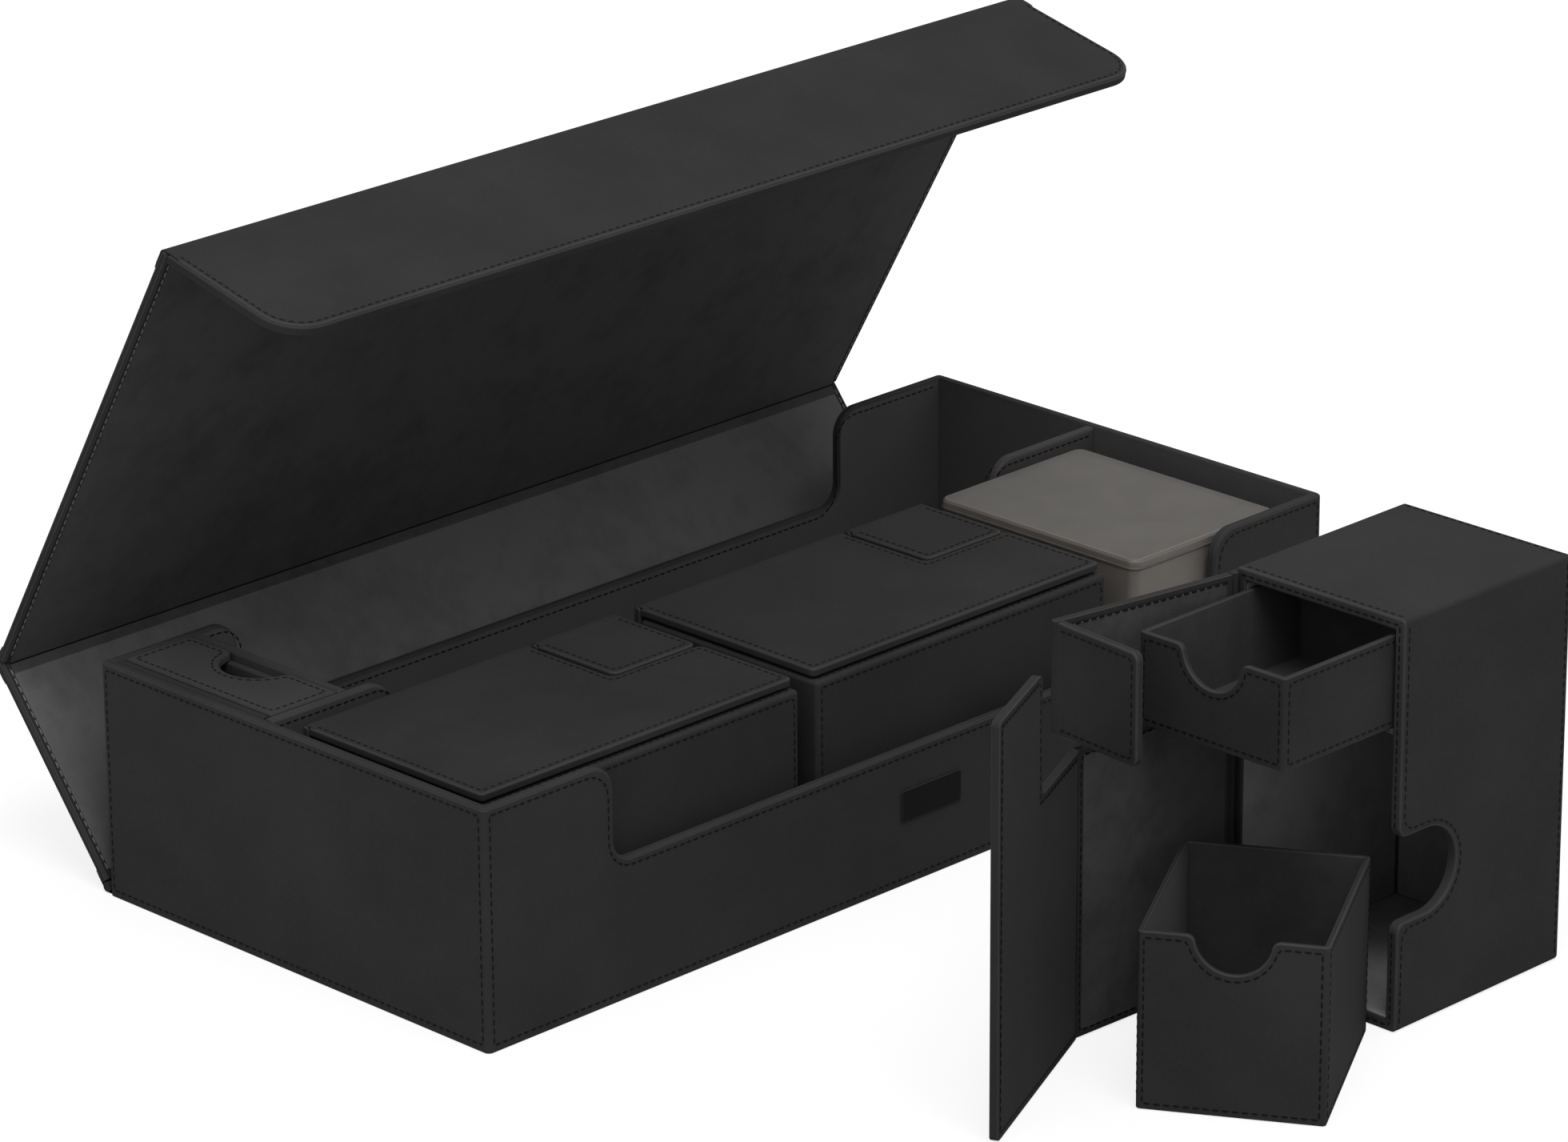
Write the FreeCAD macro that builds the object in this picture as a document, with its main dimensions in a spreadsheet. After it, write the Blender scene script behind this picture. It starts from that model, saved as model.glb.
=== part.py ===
import FreeCAD, Part
import math
import os
import re
import Sketcher
from FreeCAD import Placement, Rotation, Vector

# Card storage box with a three panel lid, two stored deck cases, a clear deck
# box, and one open deck case standing in front with its drawer and card tray.
# World axes: X right along the front, Y to the back, Z up. The origin is the
# middle of the underside of the large box.

os.makedirs("parts", exist_ok=True)
doc = FreeCAD.newDocument("card_storage_box")
sheet = doc.addObject("Spreadsheet::Sheet", "sizes")

SIZES = (
    ("box_length", 412.0, "outside, left to right"),
    ("box_depth", 190.0, "outside, front to back"),
    ("box_height", 86.0, "table to rim"),
    ("box_wall", 4.0, "leather covered board"),
    ("box_floor", 4.0, "board of the floor"),
    ("box_corner", 2.0, "upright outer corners"),
    ("rim_bevel", 0.8, "eased edges along the rims"),
    ("pad_thick", 5.8, "soft pad on the floor"),
    ("play", 0.2, "clearance between fitted pieces"),
    ("cut_inset", 58.0, "from the end of the box to the side of the low part"),
    ("cut_bottom", 50.0, "height of the low part of front, back and divider"),
    ("cut_shoulder", 10.0, "rounding where the rim drops"),
    ("cut_corner", 8.0, "rounding at the bottom of the drop"),
    ("divider_place", 103.0, "front inside face to the long divider"),
    ("divider_thick", 4.0, "both dividers"),
    ("bay_length", 33.0, "accessory bay, left to right"),
    ("bay_notch", 14.0, "radius of the finger notch"),
    ("bay_notch_place", 38.7, "long divider to the middle of the finger notch"),
    ("bay_lid_thick", 3.0, "accessory lid"),
    ("ledge_width", 3.0, "ledge under the accessory lid"),
    ("ledge_height", 4.0, "ledge under the accessory lid"),
    ("label_length", 29.4, "label patch on the front"),
    ("label_height", 11.4, "label patch on the front"),
    ("label_bottom", 23.7, "table to the lower edge of the label"),
    ("label_shift", 2.2, "middle of the box to the middle of the label"),
    ("label_thick", 0.6, "label patch"),
    ("lid_inset", 0.5, "end of the box to the end of the lid"),
    ("lid_thick", 3.6, "board with its lining"),
    ("lid_lining", 0.8, "lining of the lid panels"),
    ("lid_land", 3.0, "bare edge around a lining"),
    ("lid_gap", 0.3, "closed lid to the box"),
    ("fold_gap", 0.3, "rounded end of a panel to the next panel"),
    ("strip_thick", 1.0, "leather between a fold and its wall"),
    ("flap_length", 62.8, "last fold to the free edge"),
    ("flap_corner", 15.0, "free corners of the flap"),
    ("label_gap", 1.2, "front wall to the closed flap"),
    ("spine_lean", 38.5, "degrees, spine leaning back from upright"),
    ("top_lean", 29.5, "degrees, top panel leaning forward"),
    ("flap_lean", 103.2, "degrees, flap from upright"),
    ("magnet_round", 6.0, "radius of a magnet disc"),
    ("magnet_thick", 1.6, "magnet disc"),
    ("magnet_spread", 110.0, "middle of the flap to an outer magnet"),
    ("magnet_edge", 14.0, "free edge of the flap to the magnets"),
    ("case_reach", 85.0, "opening to the closed end of a deck case"),
    ("case_depth", 72.0, "front to back of a deck case"),
    ("case_height", 144.5, "height of a deck case"),
    ("case_wall", 4.2, "walls of a deck case"),
    ("case_round", 1.6, "outer edges of a deck case"),
    ("case_lining", 0.8, "lining on the floor of the open case"),
    ("shelf_under", 104.2, "foot of a case to the underside of its shelf"),
    ("shelf_thick", 1.6, "shelf"),
    ("thumb_place", 53.5, "foot of a case to the middle of the thumb slot"),
    ("thumb_round", 15.0, "half width of the thumb slot"),
    ("thumb_depth", 29.2, "opening edge to the end of the thumb slot"),
    ("thumb_mouth", 4.0, "rounding at the mouth of the thumb slot"),
    ("leaf_thick", 3.0, "doors and wraps"),
    ("leaf_gap", 1.0, "closed door to the case"),
    ("leaf_lining", 0.6, "lining of the doors and the wrap"),
    ("leaf_land", 2.0, "bare edge around those linings"),
    ("leaf_corner", 2.0, "free corners of the doors and wraps"),
    ("leaf_foot", 0.5, "foot of a case to the foot of its door"),
    ("door_top", 102.0, "foot of a case to the top of its main door"),
    ("small_foot", 104.5, "foot of a case to the foot of its small door"),
    ("small_top", 143.5, "foot of a case to the top of its small door"),
    ("wrap_length", 85.3, "fold to the free edge of the wrap"),
    ("wrap_step", 41.0, "fold to the step in the top edge of the wrap"),
    ("tab_length", 39.5, "fold to the free edge of the tab"),
    ("tab_corner", 3.0, "free corners of the tab"),
    ("drawer_length", 79.5, "front to back of the dice drawer"),
    ("drawer_play", 1.6, "between the dice drawer and the case's two walls"),
    ("drawer_height", 32.0, "dice drawer"),
    ("drawer_inset", 0.3, "opening to the front of the closed drawer"),
    ("drawer_out", 52.8, "how far the drawer is drawn out"),
    ("drawer_notch", 12.5, "radius of the finger notch of the drawer"),
    ("tray_length", 77.0, "front to back of the card tray"),
    ("tray_play", 1.8, "between the card tray and the case's two walls"),
    ("tray_height", 62.0, "card tray"),
    ("tray_notch", 12.6, "radius of the finger notch of the card tray"),
    ("tray_wall", 2.0, "walls and floors of trays and drawers"),
    ("tray_corner", 1.5, "upright outer corners of trays and drawers"),
    ("notch_mouth", 3.0, "rounding at the mouth of a finger notch"),
    ("tray_along", -59.0, "middle of the box to the near corner of the tray"),
    ("tray_ahead", 326.8, "middle of the box to the near corner, forward"),
    ("tray_turn", 30.75, "degrees, card tray turned on the table"),
    ("case_along", 11.3, "middle of the box to the opening of the open case"),
    ("case_ahead", 295.8, "middle of the box to the front of the open case"),
    ("door_angle", 178.0, "degrees, direction of the open door"),
    ("wrap_angle", 205.3, "degrees, direction of the open wrap"),
    ("small_angle", 170.2, "degrees, direction of the open small door"),
    ("tab_angle", 265.0, "degrees, direction of the open tab"),
    ("deck_a_along", 8.5, "left end of the box to the first stored case"),
    ("deck_apart", 8.5, "between the stored cases"),
    ("deck_back", 97.5, "front of the box to the back of the stored cases"),
    ("clear_apart", 12.4, "second stored case to the clear box"),
    ("clear_depth", 95.5, "clear box, front to back"),
    ("clear_height", 73.7, "clear box"),
    ("clear_split", 43.0, "foot of the clear box to the edge of its lid"),
    ("clear_wall", 1.4, "clear box"),
    ("clear_corner", 4.0, "upright corners of the clear box"),
    ("clear_end", 18.6, "clear box to the right end of the box"),
    ("clear_ahead", 5.7, "front of the box to the clear box"),
)
NAMES = {name for name, value, note in SIZES}
for row, (name, value, note) in enumerate(SIZES, 1):
    sheet.set(f"A{row}", name)
    sheet.set(f"B{row}", str(value))
    sheet.set(f"C{row}", note)
    sheet.setAlias(f"B{row}", name)
doc.recompute()

HALF = "(box_length / 2)"
BACK = "(box_depth / 2)"
LID_HALF = "(lid_thick / 2)"
LID_REACH = "(box_length / 2 - lid_inset)"
LEAF_HALF = "(leaf_thick / 2)"
FOLD = "(leaf_thick / 2 + leaf_gap)"
HINGE = "(case_depth - leaf_thick / 2)"
DIVIDER = "(box_wall + divider_place)"
PAD_TOP = "(box_floor + pad_thick)"
DECK_B_ALONG = "(deck_a_along + case_height + deck_apart)"
CLEAR_ALONG = f"({DECK_B_ALONG} + case_height + clear_apart)"
CLEAR_LENGTH = f"(box_length - {CLEAR_ALONG} - clear_end)"
DRAWER_WIDTH = "(case_depth - 2 * case_wall - drawer_play)"
TRAY_WIDTH = "(case_depth - 2 * case_wall - tray_play)"

bodies = []


def link(text):
    """Give the names of sizes in a formula as references to the sheet."""
    def refer(word):
        return "sizes." + word.group() if word.group() in NAMES else word.group()
    return re.sub(r"[a-z]\w*", refer, text)


def val(text):
    """Work out a formula with the values of the sheet."""
    return float(sheet.evalExpression(link(text)))


def spot(x, y, z):
    return Vector(val(x), val(y), val(z))


def turned(angle, axis=Vector(0, 0, 1)):
    return Rotation(axis, angle)


def body(label, place):
    made = doc.addObject("PartDesign::Body", label)
    made.Label = label
    made.Placement = place
    bodies.append(made)
    return made


def sketch(owner, plane, lift="0"):
    """Add an empty sketch on an origin plane of a body, lifted along its normal."""
    face = [item for item in owner.Origin.OriginFeatures if item.Role == plane][0]
    made = owner.newObject("Sketcher::SketchObject", "outline")
    made.AttachmentSupport = [(face, "")]
    made.MapMode = "FlatFace"
    made.setExpression("AttachmentOffset.Base.z", link(lift))
    return made


def hold(drawing, kind, index, point, text):
    """Fix one coordinate of a point of a sketch to a formula."""
    number = drawing.addConstraint(
        Sketcher.Constraint(kind, -1, 1, index, point, val(text)))
    drawing.setExpression(f"Constraints[{number}]", link(text))


def outline(owner, plane, corners, lift="0"):
    """Draw a closed outline through corners given as formulas.

    A corner is (x, y), or (x, y, centre x, centre y, turn) where an arc leads
    to it, with turn 1 for an arc to the left and -1 for one to the right.
    """
    drawing = sketch(owner, plane, lift)
    points = [Vector(val(item[0]), val(item[1]), 0) for item in corners]
    ends = []
    for index, item in enumerate(corners):
        start, stop = points[index - 1], points[index]
        if len(item) == 2:
            drawing.addGeometry(Part.LineSegment(start, stop), False)
            ends.append((1, 2))
            continue
        middle = Vector(val(item[2]), val(item[3]), 0)
        first, last = (start, stop) if item[4] > 0 else (stop, start)
        low = math.atan2(first.y - middle.y, first.x - middle.x)
        high = math.atan2(last.y - middle.y, last.x - middle.x)
        if high <= low:
            high += 2 * math.pi
        ring = Part.Circle(middle, Vector(0, 0, 1), (first - middle).Length)
        drawing.addGeometry(Part.ArcOfCircle(ring, low, high), False)
        ends.append((1, 2) if item[4] > 0 else (2, 1))
    for index in range(len(corners)):
        after = (index + 1) % len(corners)
        drawing.addConstraint(Sketcher.Constraint(
            "Coincident", index, ends[index][1], after, ends[after][0]))
    for index, item in enumerate(corners):
        hold(drawing, "DistanceX", index, ends[index][1], item[0])
        hold(drawing, "DistanceY", index, ends[index][1], item[1])
        if len(item) > 2:
            chord = points[index] - points[index - 1]
            if abs(chord.x) > abs(chord.y):
                hold(drawing, "DistanceY", index, 3, item[3])
            else:
                hold(drawing, "DistanceX", index, 3, item[2])
    return drawing


def circle(owner, plane, x, y, radius, lift="0"):
    drawing = sketch(owner, plane, lift)
    middle = Vector(val(x), val(y), 0)
    drawing.addGeometry(Part.Circle(middle, Vector(0, 0, 1), val(radius)), False)
    hold(drawing, "DistanceX", 0, 3, x)
    hold(drawing, "DistanceY", 0, 3, y)
    number = drawing.addConstraint(Sketcher.Constraint("Radius", 0, val(radius)))
    drawing.setExpression(f"Constraints[{number}]", link(radius))
    return drawing


def box_outline(owner, plane, low, high, lift="0"):
    (x0, y0), (x1, y1) = low, high
    return outline(owner, plane, [(x0, y0), (x1, y0), (x1, y1), (x0, y1)], lift)


def pad(owner, drawing, length):
    made = owner.newObject("PartDesign::Pad", "pad")
    made.Profile = drawing
    made.setExpression("Length", link(length))
    doc.recompute()
    return made


def pocket(owner, drawing, depth, flip=False):
    """Cut a sketch into a body, against the normal of the sketch unless flipped."""
    before = owner.Tip.Shape.Volume
    made = owner.newObject("PartDesign::Pocket", "pocket")
    made.Profile = drawing
    made.Reversed = flip
    made.setExpression("Length", link(depth))
    doc.recompute()
    if made.Shape.Volume > before - 0.01:
        raise ValueError(f"{owner.Label}: the pocket takes nothing away")
    return made


def soften(owner, radius, rule):
    """Round the edges of a body whose middle points answer to a rule."""
    base = owner.Tip
    names = [f"Edge{number}" for number, edge in enumerate(base.Shape.Edges, 1)
             if rule(edge.CenterOfMass, edge)]
    if not names:
        raise ValueError(f"{owner.Label}: no edge to round")
    made = owner.newObject("PartDesign::Fillet", "rounding")
    made.Base = (base, names)
    made.setExpression("Radius", link(radius))
    doc.recompute()
    return made


def bevel(owner, size, rule):
    """Cut the edges of a body at an angle where their middles answer to a rule."""
    base = owner.Tip
    names = [f"Edge{number}" for number, edge in enumerate(base.Shape.Edges, 1)
             if rule(edge.CenterOfMass, edge)]
    if not names:
        raise ValueError(f"{owner.Label}: no edge to bevel")
    made = owner.newObject("PartDesign::Chamfer", "bevel")
    made.Base = (base, names)
    made.setExpression("Size", link(size))
    doc.recompute()
    return made


def near(a, b):
    return abs(a - b) < 0.02


def upright(edge):
    """Tell whether an edge runs along Z."""
    low, high = edge.BoundBox.ZMin, edge.BoundBox.ZMax
    return near(edge.Length, high - low) and high - low > 0.5


def block(label, place, low, high):
    """Make a plain block between two opposite corners given as formulas."""
    made = body(label, place)
    pad(made, box_outline(made, "XY_Plane", low[:2], high[:2], low[2]),
        f"{high[2]} - ({low[2]})")
    return made


def low_part(owner, lift, depth, flip, bottom="cut_bottom"):
    """Lower the middle of a wall and round the drop at both ends."""
    side = f"({HALF} - cut_inset)"
    drawing = outline(owner, "XZ_Plane", [
        (f"-{side}", bottom), (side, bottom),
        (side, "box_height + 1"), (f"-{side}", "box_height + 1")], lift)
    pocket(owner, drawing, depth, flip)
    place, height, low = val(side), val("box_height"), val(bottom)
    soften(owner, "cut_shoulder",
           lambda m, e: near(abs(m.x), place) and near(m.z, height)
           and near(e.BoundBox.ZLength, 0))
    soften(owner, "cut_corner",
           lambda m, e: near(abs(m.x), place) and near(m.z, low)
           and near(e.BoundBox.ZLength, 0))


def wall(label, place, length, low=False):
    """Make one wall of the box with mitred ends and a rounded rim."""
    made = body(label, place)
    half = f"({length} / 2)"
    bend = "(box_corner * sqrt(0.5))"
    end = f"({half} - box_corner)"
    pad(made, outline(made, "XY_Plane", [
        (f"-{end}", "0", f"-{end}", "box_corner", 1),
        (end, "0"),
        (f"{end} + {bend}", f"box_corner - {bend}", end, "box_corner", 1),
        (f"{half} - box_wall", "box_wall"),
        (f"-({half} - box_wall)", "box_wall"),
        (f"-({end} + {bend})", f"box_corner - {bend}")]), "box_height")
    if low:
        low_part(made, "0", "box_wall", False)
    thick = val("box_wall")
    bevel(made, "rim_bevel", lambda m, e: m.z > 1
           and (near(m.y, 0) or near(m.y, thick)) and near(e.BoundBox.YLength, 0)
           and not upright_end(m, e, val(length)))
    return made


def upright_end(middle, edge, length):
    return upright(edge) and abs(middle.x) > length / 2 - val("box_wall") - 0.1


def large_box():
    here = Placement()
    inside = f"({HALF} - box_wall)"
    inner = f"({BACK} - box_wall)"
    block("box_floor", here, (f"-{inside}", f"-{inner}", "0"),
          (inside, inner, "box_floor"))
    floor_pad = block(
        "floor_pad", here,
        (f"-({inside} - play)", f"-({inner} - play)", "box_floor"),
        (f"{inside} - play", f"{inner} - play", PAD_TOP))
    top = val(PAD_TOP)
    bevel(floor_pad, "rim_bevel",
           lambda m, e: near(m.z, top) and near(e.BoundBox.ZLength, 0))
    wall("box_front_wall", Placement(spot("0", f"-{BACK}", "0"), turned(0)),
         "box_length", True)
    wall("box_back_wall", Placement(spot("0", BACK, "0"), turned(180)),
         "box_length", True)
    wall("box_left_wall", Placement(spot(f"-{HALF}", "0", "0"), turned(-90)),
         "box_depth")
    wall("box_right_wall", Placement(spot(HALF, "0", "0"), turned(90)),
         "box_depth")
    long_divider(here, inside)
    accessory_bay(here, inside)
    label = block(
        "label_patch", here,
        ("label_shift - label_length / 2", f"-{BACK} - label_thick", "label_bottom"),
        ("label_shift + label_length / 2", f"-{BACK}",
         "label_bottom + label_height"))
    soften(label, "rim_bevel", lambda m, e: near(e.BoundBox.YLength,
           val("label_thick")) and near(e.Length, val("label_thick")))
    strip = body("spine_strip", Placement(spine_axis(), turned(0)))
    ring = circle(strip, "YZ_Plane", "0", "0", LID_HALF, f"-{LID_REACH}")
    pad(strip, ring, f"2 * {LID_REACH}")
    web = box_outline(strip, "YZ_Plane", (f"-({LID_HALF} + lid_gap)", "-strip_thick / 2"),
                      ("0", "strip_thick / 2"), f"-{LID_REACH}")
    pad(strip, web, f"2 * {LID_REACH}")


def long_divider(here, inside):
    front = f"(-{BACK} + {DIVIDER})"
    made = block("long_divider", here,
                 (f"-({inside} - play)", front, PAD_TOP),
                 (f"{inside} - play", f"{front} + divider_thick", "box_height"))
    low_part(made, f"-({front})", "divider_thick", False)
    faces = (val(front), val(front) + val("divider_thick"))
    bevel(made, "rim_bevel", lambda m, e: m.z > val(PAD_TOP) + 1
           and near(e.BoundBox.YLength, 0) and (near(m.y, faces[0])
           or near(m.y, faces[1])) and not end_edge(m, e))


def end_edge(middle, edge):
    return upright(edge) and abs(middle.x) > val(HALF) - val("box_wall") - 1


def accessory_bay(here, inside):
    """Make the short divider, the ledge and the hinged lid of the bay."""
    left = f"(-{inside})"
    right = f"({left} + bay_length)"
    front = f"(-{BACK} + {DIVIDER} + divider_thick)"
    back = f"({BACK} - box_wall)"
    notch = f"({front} + bay_notch_place)"
    short = block("short_divider", here,
                  (f"{right} + play", f"{front} + play", PAD_TOP),
                  (f"{right} + play + divider_thick", f"{back} - play", "box_height"))
    sides = (val(right) + val("play"), val(right) + val("play")
             + val("divider_thick"))
    bevel(short, "rim_bevel", lambda m, e: m.z > val(PAD_TOP) + 1
           and near(e.BoundBox.XLength, 0) and (near(m.x, sides[0])
           or near(m.x, sides[1])) and not upright(e))
    top = "(box_height - play - bay_lid_thick)"
    ledge = block("bay_ledge", here,
                  (f"{left} + ledge_width", f"{front} + play",
                   f"{top} - ledge_height"),
                  (f"{right}", f"{back}", top))
    pocket(ledge, box_outline(
        ledge, "XY_Plane",
        (f"{left} + ledge_width - 1", f"{front} + ledge_width"),
        (f"{right} - ledge_width", f"{back} - ledge_width"), top),
        "ledge_height")
    half = "(bay_lid_thick / 2)"
    axis = bay_axis()
    strip = body("bay_strip", Placement(axis, turned(0)))
    length = f"({back} - {front} - 4 * play)"
    pad(strip, circle(strip, "XZ_Plane", "0", "0", half, f"-{length} / 2"),
        length)
    pad(strip, box_outline(strip, "XZ_Plane", (f"-({half} + play)", "-strip_thick / 2"),
                           ("0", "strip_thick / 2"), f"-{length} / 2"), length)
    lid = body("accessory_lid", Placement(axis, turned(0)))
    reach = f"(bay_length - {half} - play - play)"
    start = f"({half} + fold_gap)"
    pad(lid, box_outline(lid, "XY_Plane", (start, f"-{length} / 2"),
                         (reach, f"{length} / 2"), f"-{half}"), "bay_lid_thick")
    middle = f"({notch} - ({front} + {back}) / 2)"
    pocket(lid, circle(lid, "XY_Plane", reach, middle, "bay_notch", half),
           "bay_lid_thick")
    soften(lid, "notch_mouth", lambda m, e: upright(e) and near(m.x, val(reach))
           and abs(m.y) < val(length) / 2 - 1)


def bay_axis():
    front = f"(-{BACK} + {DIVIDER} + divider_thick)"
    return spot(f"-({HALF} - box_wall) + bay_lid_thick / 2 + play",
                f"({front} + {BACK} - box_wall) / 2",
                "box_height - bay_lid_thick / 2")


def spine_axis():
    return spot("0", f"{BACK} + lid_gap + {LID_HALF}", f"{LID_HALF} + lid_gap")


def lean(angle):
    return Rotation(Vector(1, 0, 0), angle)


def fold_points():
    """Give the three fold lines of the open lid and the turn of each panel."""
    first = spine_axis()
    turns = [lean(-val("spine_lean")), lean(val("top_lean")),
             lean(val("flap_lean"))]
    second = first + turns[0].multVec(Vector(0, 0, val(SPINE_LENGTH)))
    third = second + turns[1].multVec(Vector(0, 0, val(TOP_LENGTH)))
    return [first, second, third], turns


SPINE_LENGTH = "box_height"
TOP_LENGTH = "(box_depth + lid_gap + lid_thick + label_gap)"


def lid_panel(name, place, length, nose, corner=None):
    """Make a lid panel, its inner side to -Y, running up from its fold."""
    start = f"({LID_HALF} + fold_gap)"
    made = body(f"{name}_panel", place)
    profile = [(f"-{LID_HALF}", start), (LID_HALF, start), (LID_HALF, length)]
    if nose:
        profile.append((f"-{LID_HALF}", length, "0", length, 1))
    else:
        profile.append((f"-{LID_HALF}", length))
    pad(made, outline(made, "YZ_Plane", profile, f"-{LID_REACH}"), f"2 * {LID_REACH}")
    edge = val(LID_REACH)
    if corner:
        far = val(length)
        soften(made, corner, lambda m, e: near(abs(m.x), edge) and near(m.z, far)
               and near(e.BoundBox.YLength, e.Length))
    out = val(LID_HALF)
    bevel(made, "rim_bevel", lambda m, e: near(m.y, out)
           and near(e.BoundBox.YLength, 0) and not (nose and near(m.z, val(length))))
    side = f"({LID_REACH} - lid_land)"
    foot = f"({start} + lid_land)"
    head = f"({length} - lid_land)"
    area = inset(side, foot, head, corner)
    pocket(made, outline(made, "XZ_Plane", area, LID_HALF), "lid_lining")
    lining = body(f"{name}_lining", place)
    side = f"({LID_REACH} - lid_land - play)"
    area = inset(side, f"{foot} + play", f"{head} - play", corner)
    pad(lining, outline(lining, "XZ_Plane", area, f"{LID_HALF} - lid_lining"),
        "lid_lining")
    return made


def inset(side, foot, head, corner):
    """Give the outline of a lining, with its two free corners rounded."""
    if not corner:
        return [(f"-{side}", foot), (side, foot), (side, head), (f"-{side}", head)]
    bend = f"({corner} - lid_land)"
    near_side = f"({side} - {bend})"
    return [(f"-{side}", foot), (side, foot), (side, f"{head} - {bend}"),
            (near_side, head, near_side, f"{head} - {bend}", 1),
            (f"-{near_side}", head),
            (f"-{side}", f"{head} - {bend}", f"-{near_side}", f"{head} - {bend}", 1)]


def lid():
    points, turns = fold_points()
    lid_panel("spine", Placement(points[0], turns[0]), SPINE_LENGTH, True)
    lid_panel("top", Placement(points[1], turns[1]), TOP_LENGTH, True)
    place = Placement(points[2], turns[2])
    flap = lid_panel("flap", place, "flap_length", False, "flap_corner")
    height = "(flap_length - magnet_edge)"
    under = f"({LID_HALF} - lid_lining)"
    for name, x in (("left", "-magnet_spread"), ("right", "magnet_spread")):
        pocket(flap, circle(flap, "XZ_Plane", x, height, "magnet_round + play",
                            under), "magnet_thick")
        disc = body(f"magnet_{name}", place)
        pad(disc, circle(disc, "XZ_Plane", x, height, "magnet_round",
                         f"{under} - magnet_thick"), "magnet_thick")


def shell(label, place):
    """Make the leather covered case, open at its left side."""
    made = body(label, place)
    pad(made, box_outline(made, "XY_Plane", ("0", "0"),
                          ("case_reach", "case_depth")), "case_height")
    far, deep, top = val("case_reach"), val("case_depth"), val("case_height")
    soften(made, "case_round", lambda m, e: near(m.x, far) or (
        near(e.BoundBox.XLength, far) and m.x > 1))
    pocket(made, box_outline(
        made, "YZ_Plane", ("case_wall", "case_wall"),
        ("case_depth - case_wall", "case_height - case_wall")),
        "case_reach - case_wall", True)
    centre = "(thumb_depth - thumb_round)"
    low = "(thumb_place - thumb_round)"
    high = "(thumb_place + thumb_round)"
    pocket(made, outline(made, "XZ_Plane", [
        ("0", low), (centre, low), (centre, high, centre, "thumb_place", 1),
        ("0", high)]), "case_wall")
    mouths = (val(low), val(high))
    soften(made, "thumb_mouth", lambda m, e: near(m.x, 0)
           and (near(m.z, mouths[0]) or near(m.z, mouths[1]))
           and near(e.BoundBox.YLength, e.Length) and m.y < deep / 2)
    return made


def open_tray(label, place, length, width, height, notch):
    """Make an open tray whose front, at X zero, has a round finger notch."""
    made = body(label, place)
    pad(made, box_outline(made, "XY_Plane", ("0", "0"), (length, width)), height)
    soften(made, "tray_corner", lambda m, e: upright(e))
    pocket(made, box_outline(
        made, "XY_Plane", ("tray_wall", "tray_wall"),
        (f"{length} - tray_wall", f"{width} - tray_wall"), height),
        f"{height} - tray_wall")
    pocket(made, circle(made, "YZ_Plane", f"{width} / 2", height, notch),
           "tray_wall", True)
    top = val(height)
    soften(made, "notch_mouth", lambda m, e: near(m.z, top)
           and near(e.BoundBox.XLength, e.Length)
           and near(e.Length, val("tray_wall")))
    return made


def leaf(label, place, length, foot, head, nose=False, step=False, corner="leaf_corner"):
    """Make a door or wrap, its inner side to +Y, running along X from its fold."""
    made = body(label, place)
    start = f"({LEAF_HALF} + fold_gap)"
    profile = [(start, f"-{LEAF_HALF}"), (length, f"-{LEAF_HALF}")]
    if nose:
        profile.append((length, LEAF_HALF, length, "0", 1))
    else:
        profile.append((length, LEAF_HALF))
    profile.append((start, LEAF_HALF))
    pad(made, outline(made, "XY_Plane", profile, foot), f"{head} - ({foot})")
    if step:
        pocket(made, box_outline(
            made, "XZ_Plane", ("0", "door_top"), ("wrap_step", "case_height + 1"),
            LEAF_HALF), "leaf_thick")
        soften(made, "notch_mouth", lambda m, e: near(m.x, val("wrap_step"))
               and near(e.BoundBox.YLength, e.Length) and e.Length > 1)
    if not nose:
        far = val(length)
        soften(made, corner, lambda m, e: near(m.x, far)
               and near(e.BoundBox.YLength, e.Length) and e.Length > 1)
    return made


def leaf_lining(owner, label, length, foot, head, step=False):
    """Let a lining into the inner side of a door or wrap."""
    start = f"({LEAF_HALF} + fold_gap + leaf_land)"
    lining = body(label, owner.Placement)
    for made, gap in ((owner, "0"), (lining, "play")):
        x0, x1 = f"({start} + {gap})", f"({length} - leaf_land - {gap})"
        z0, z1 = f"({foot} + leaf_land + {gap})", f"({head} - leaf_land - {gap})"
        corners = [(x0, z0), (x1, z0), (x1, z1), (x0, z1)]
        if step:
            inner = f"(wrap_step + leaf_land + {gap})"
            door = f"(door_top - leaf_land - {gap})"
            corners = [(x0, z0), (x1, z0), (x1, z1), (inner, z1), (inner, door),
                       (x0, door)]
        if made is owner:
            pocket(made, outline(made, "XZ_Plane", corners, f"-{LEAF_HALF}"),
                   "leaf_lining", True)
        else:
            pad(made, outline(made, "XZ_Plane", corners, f"-{LEAF_HALF}"),
                "leaf_lining")


def leaf_place(case, x, y, angle):
    return case.multiply(Placement(Vector(x, y, 0), turned(angle)))


def along(angle):
    turn = math.radians(angle)
    return Vector(math.cos(turn), math.sin(turn), 0)


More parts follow.
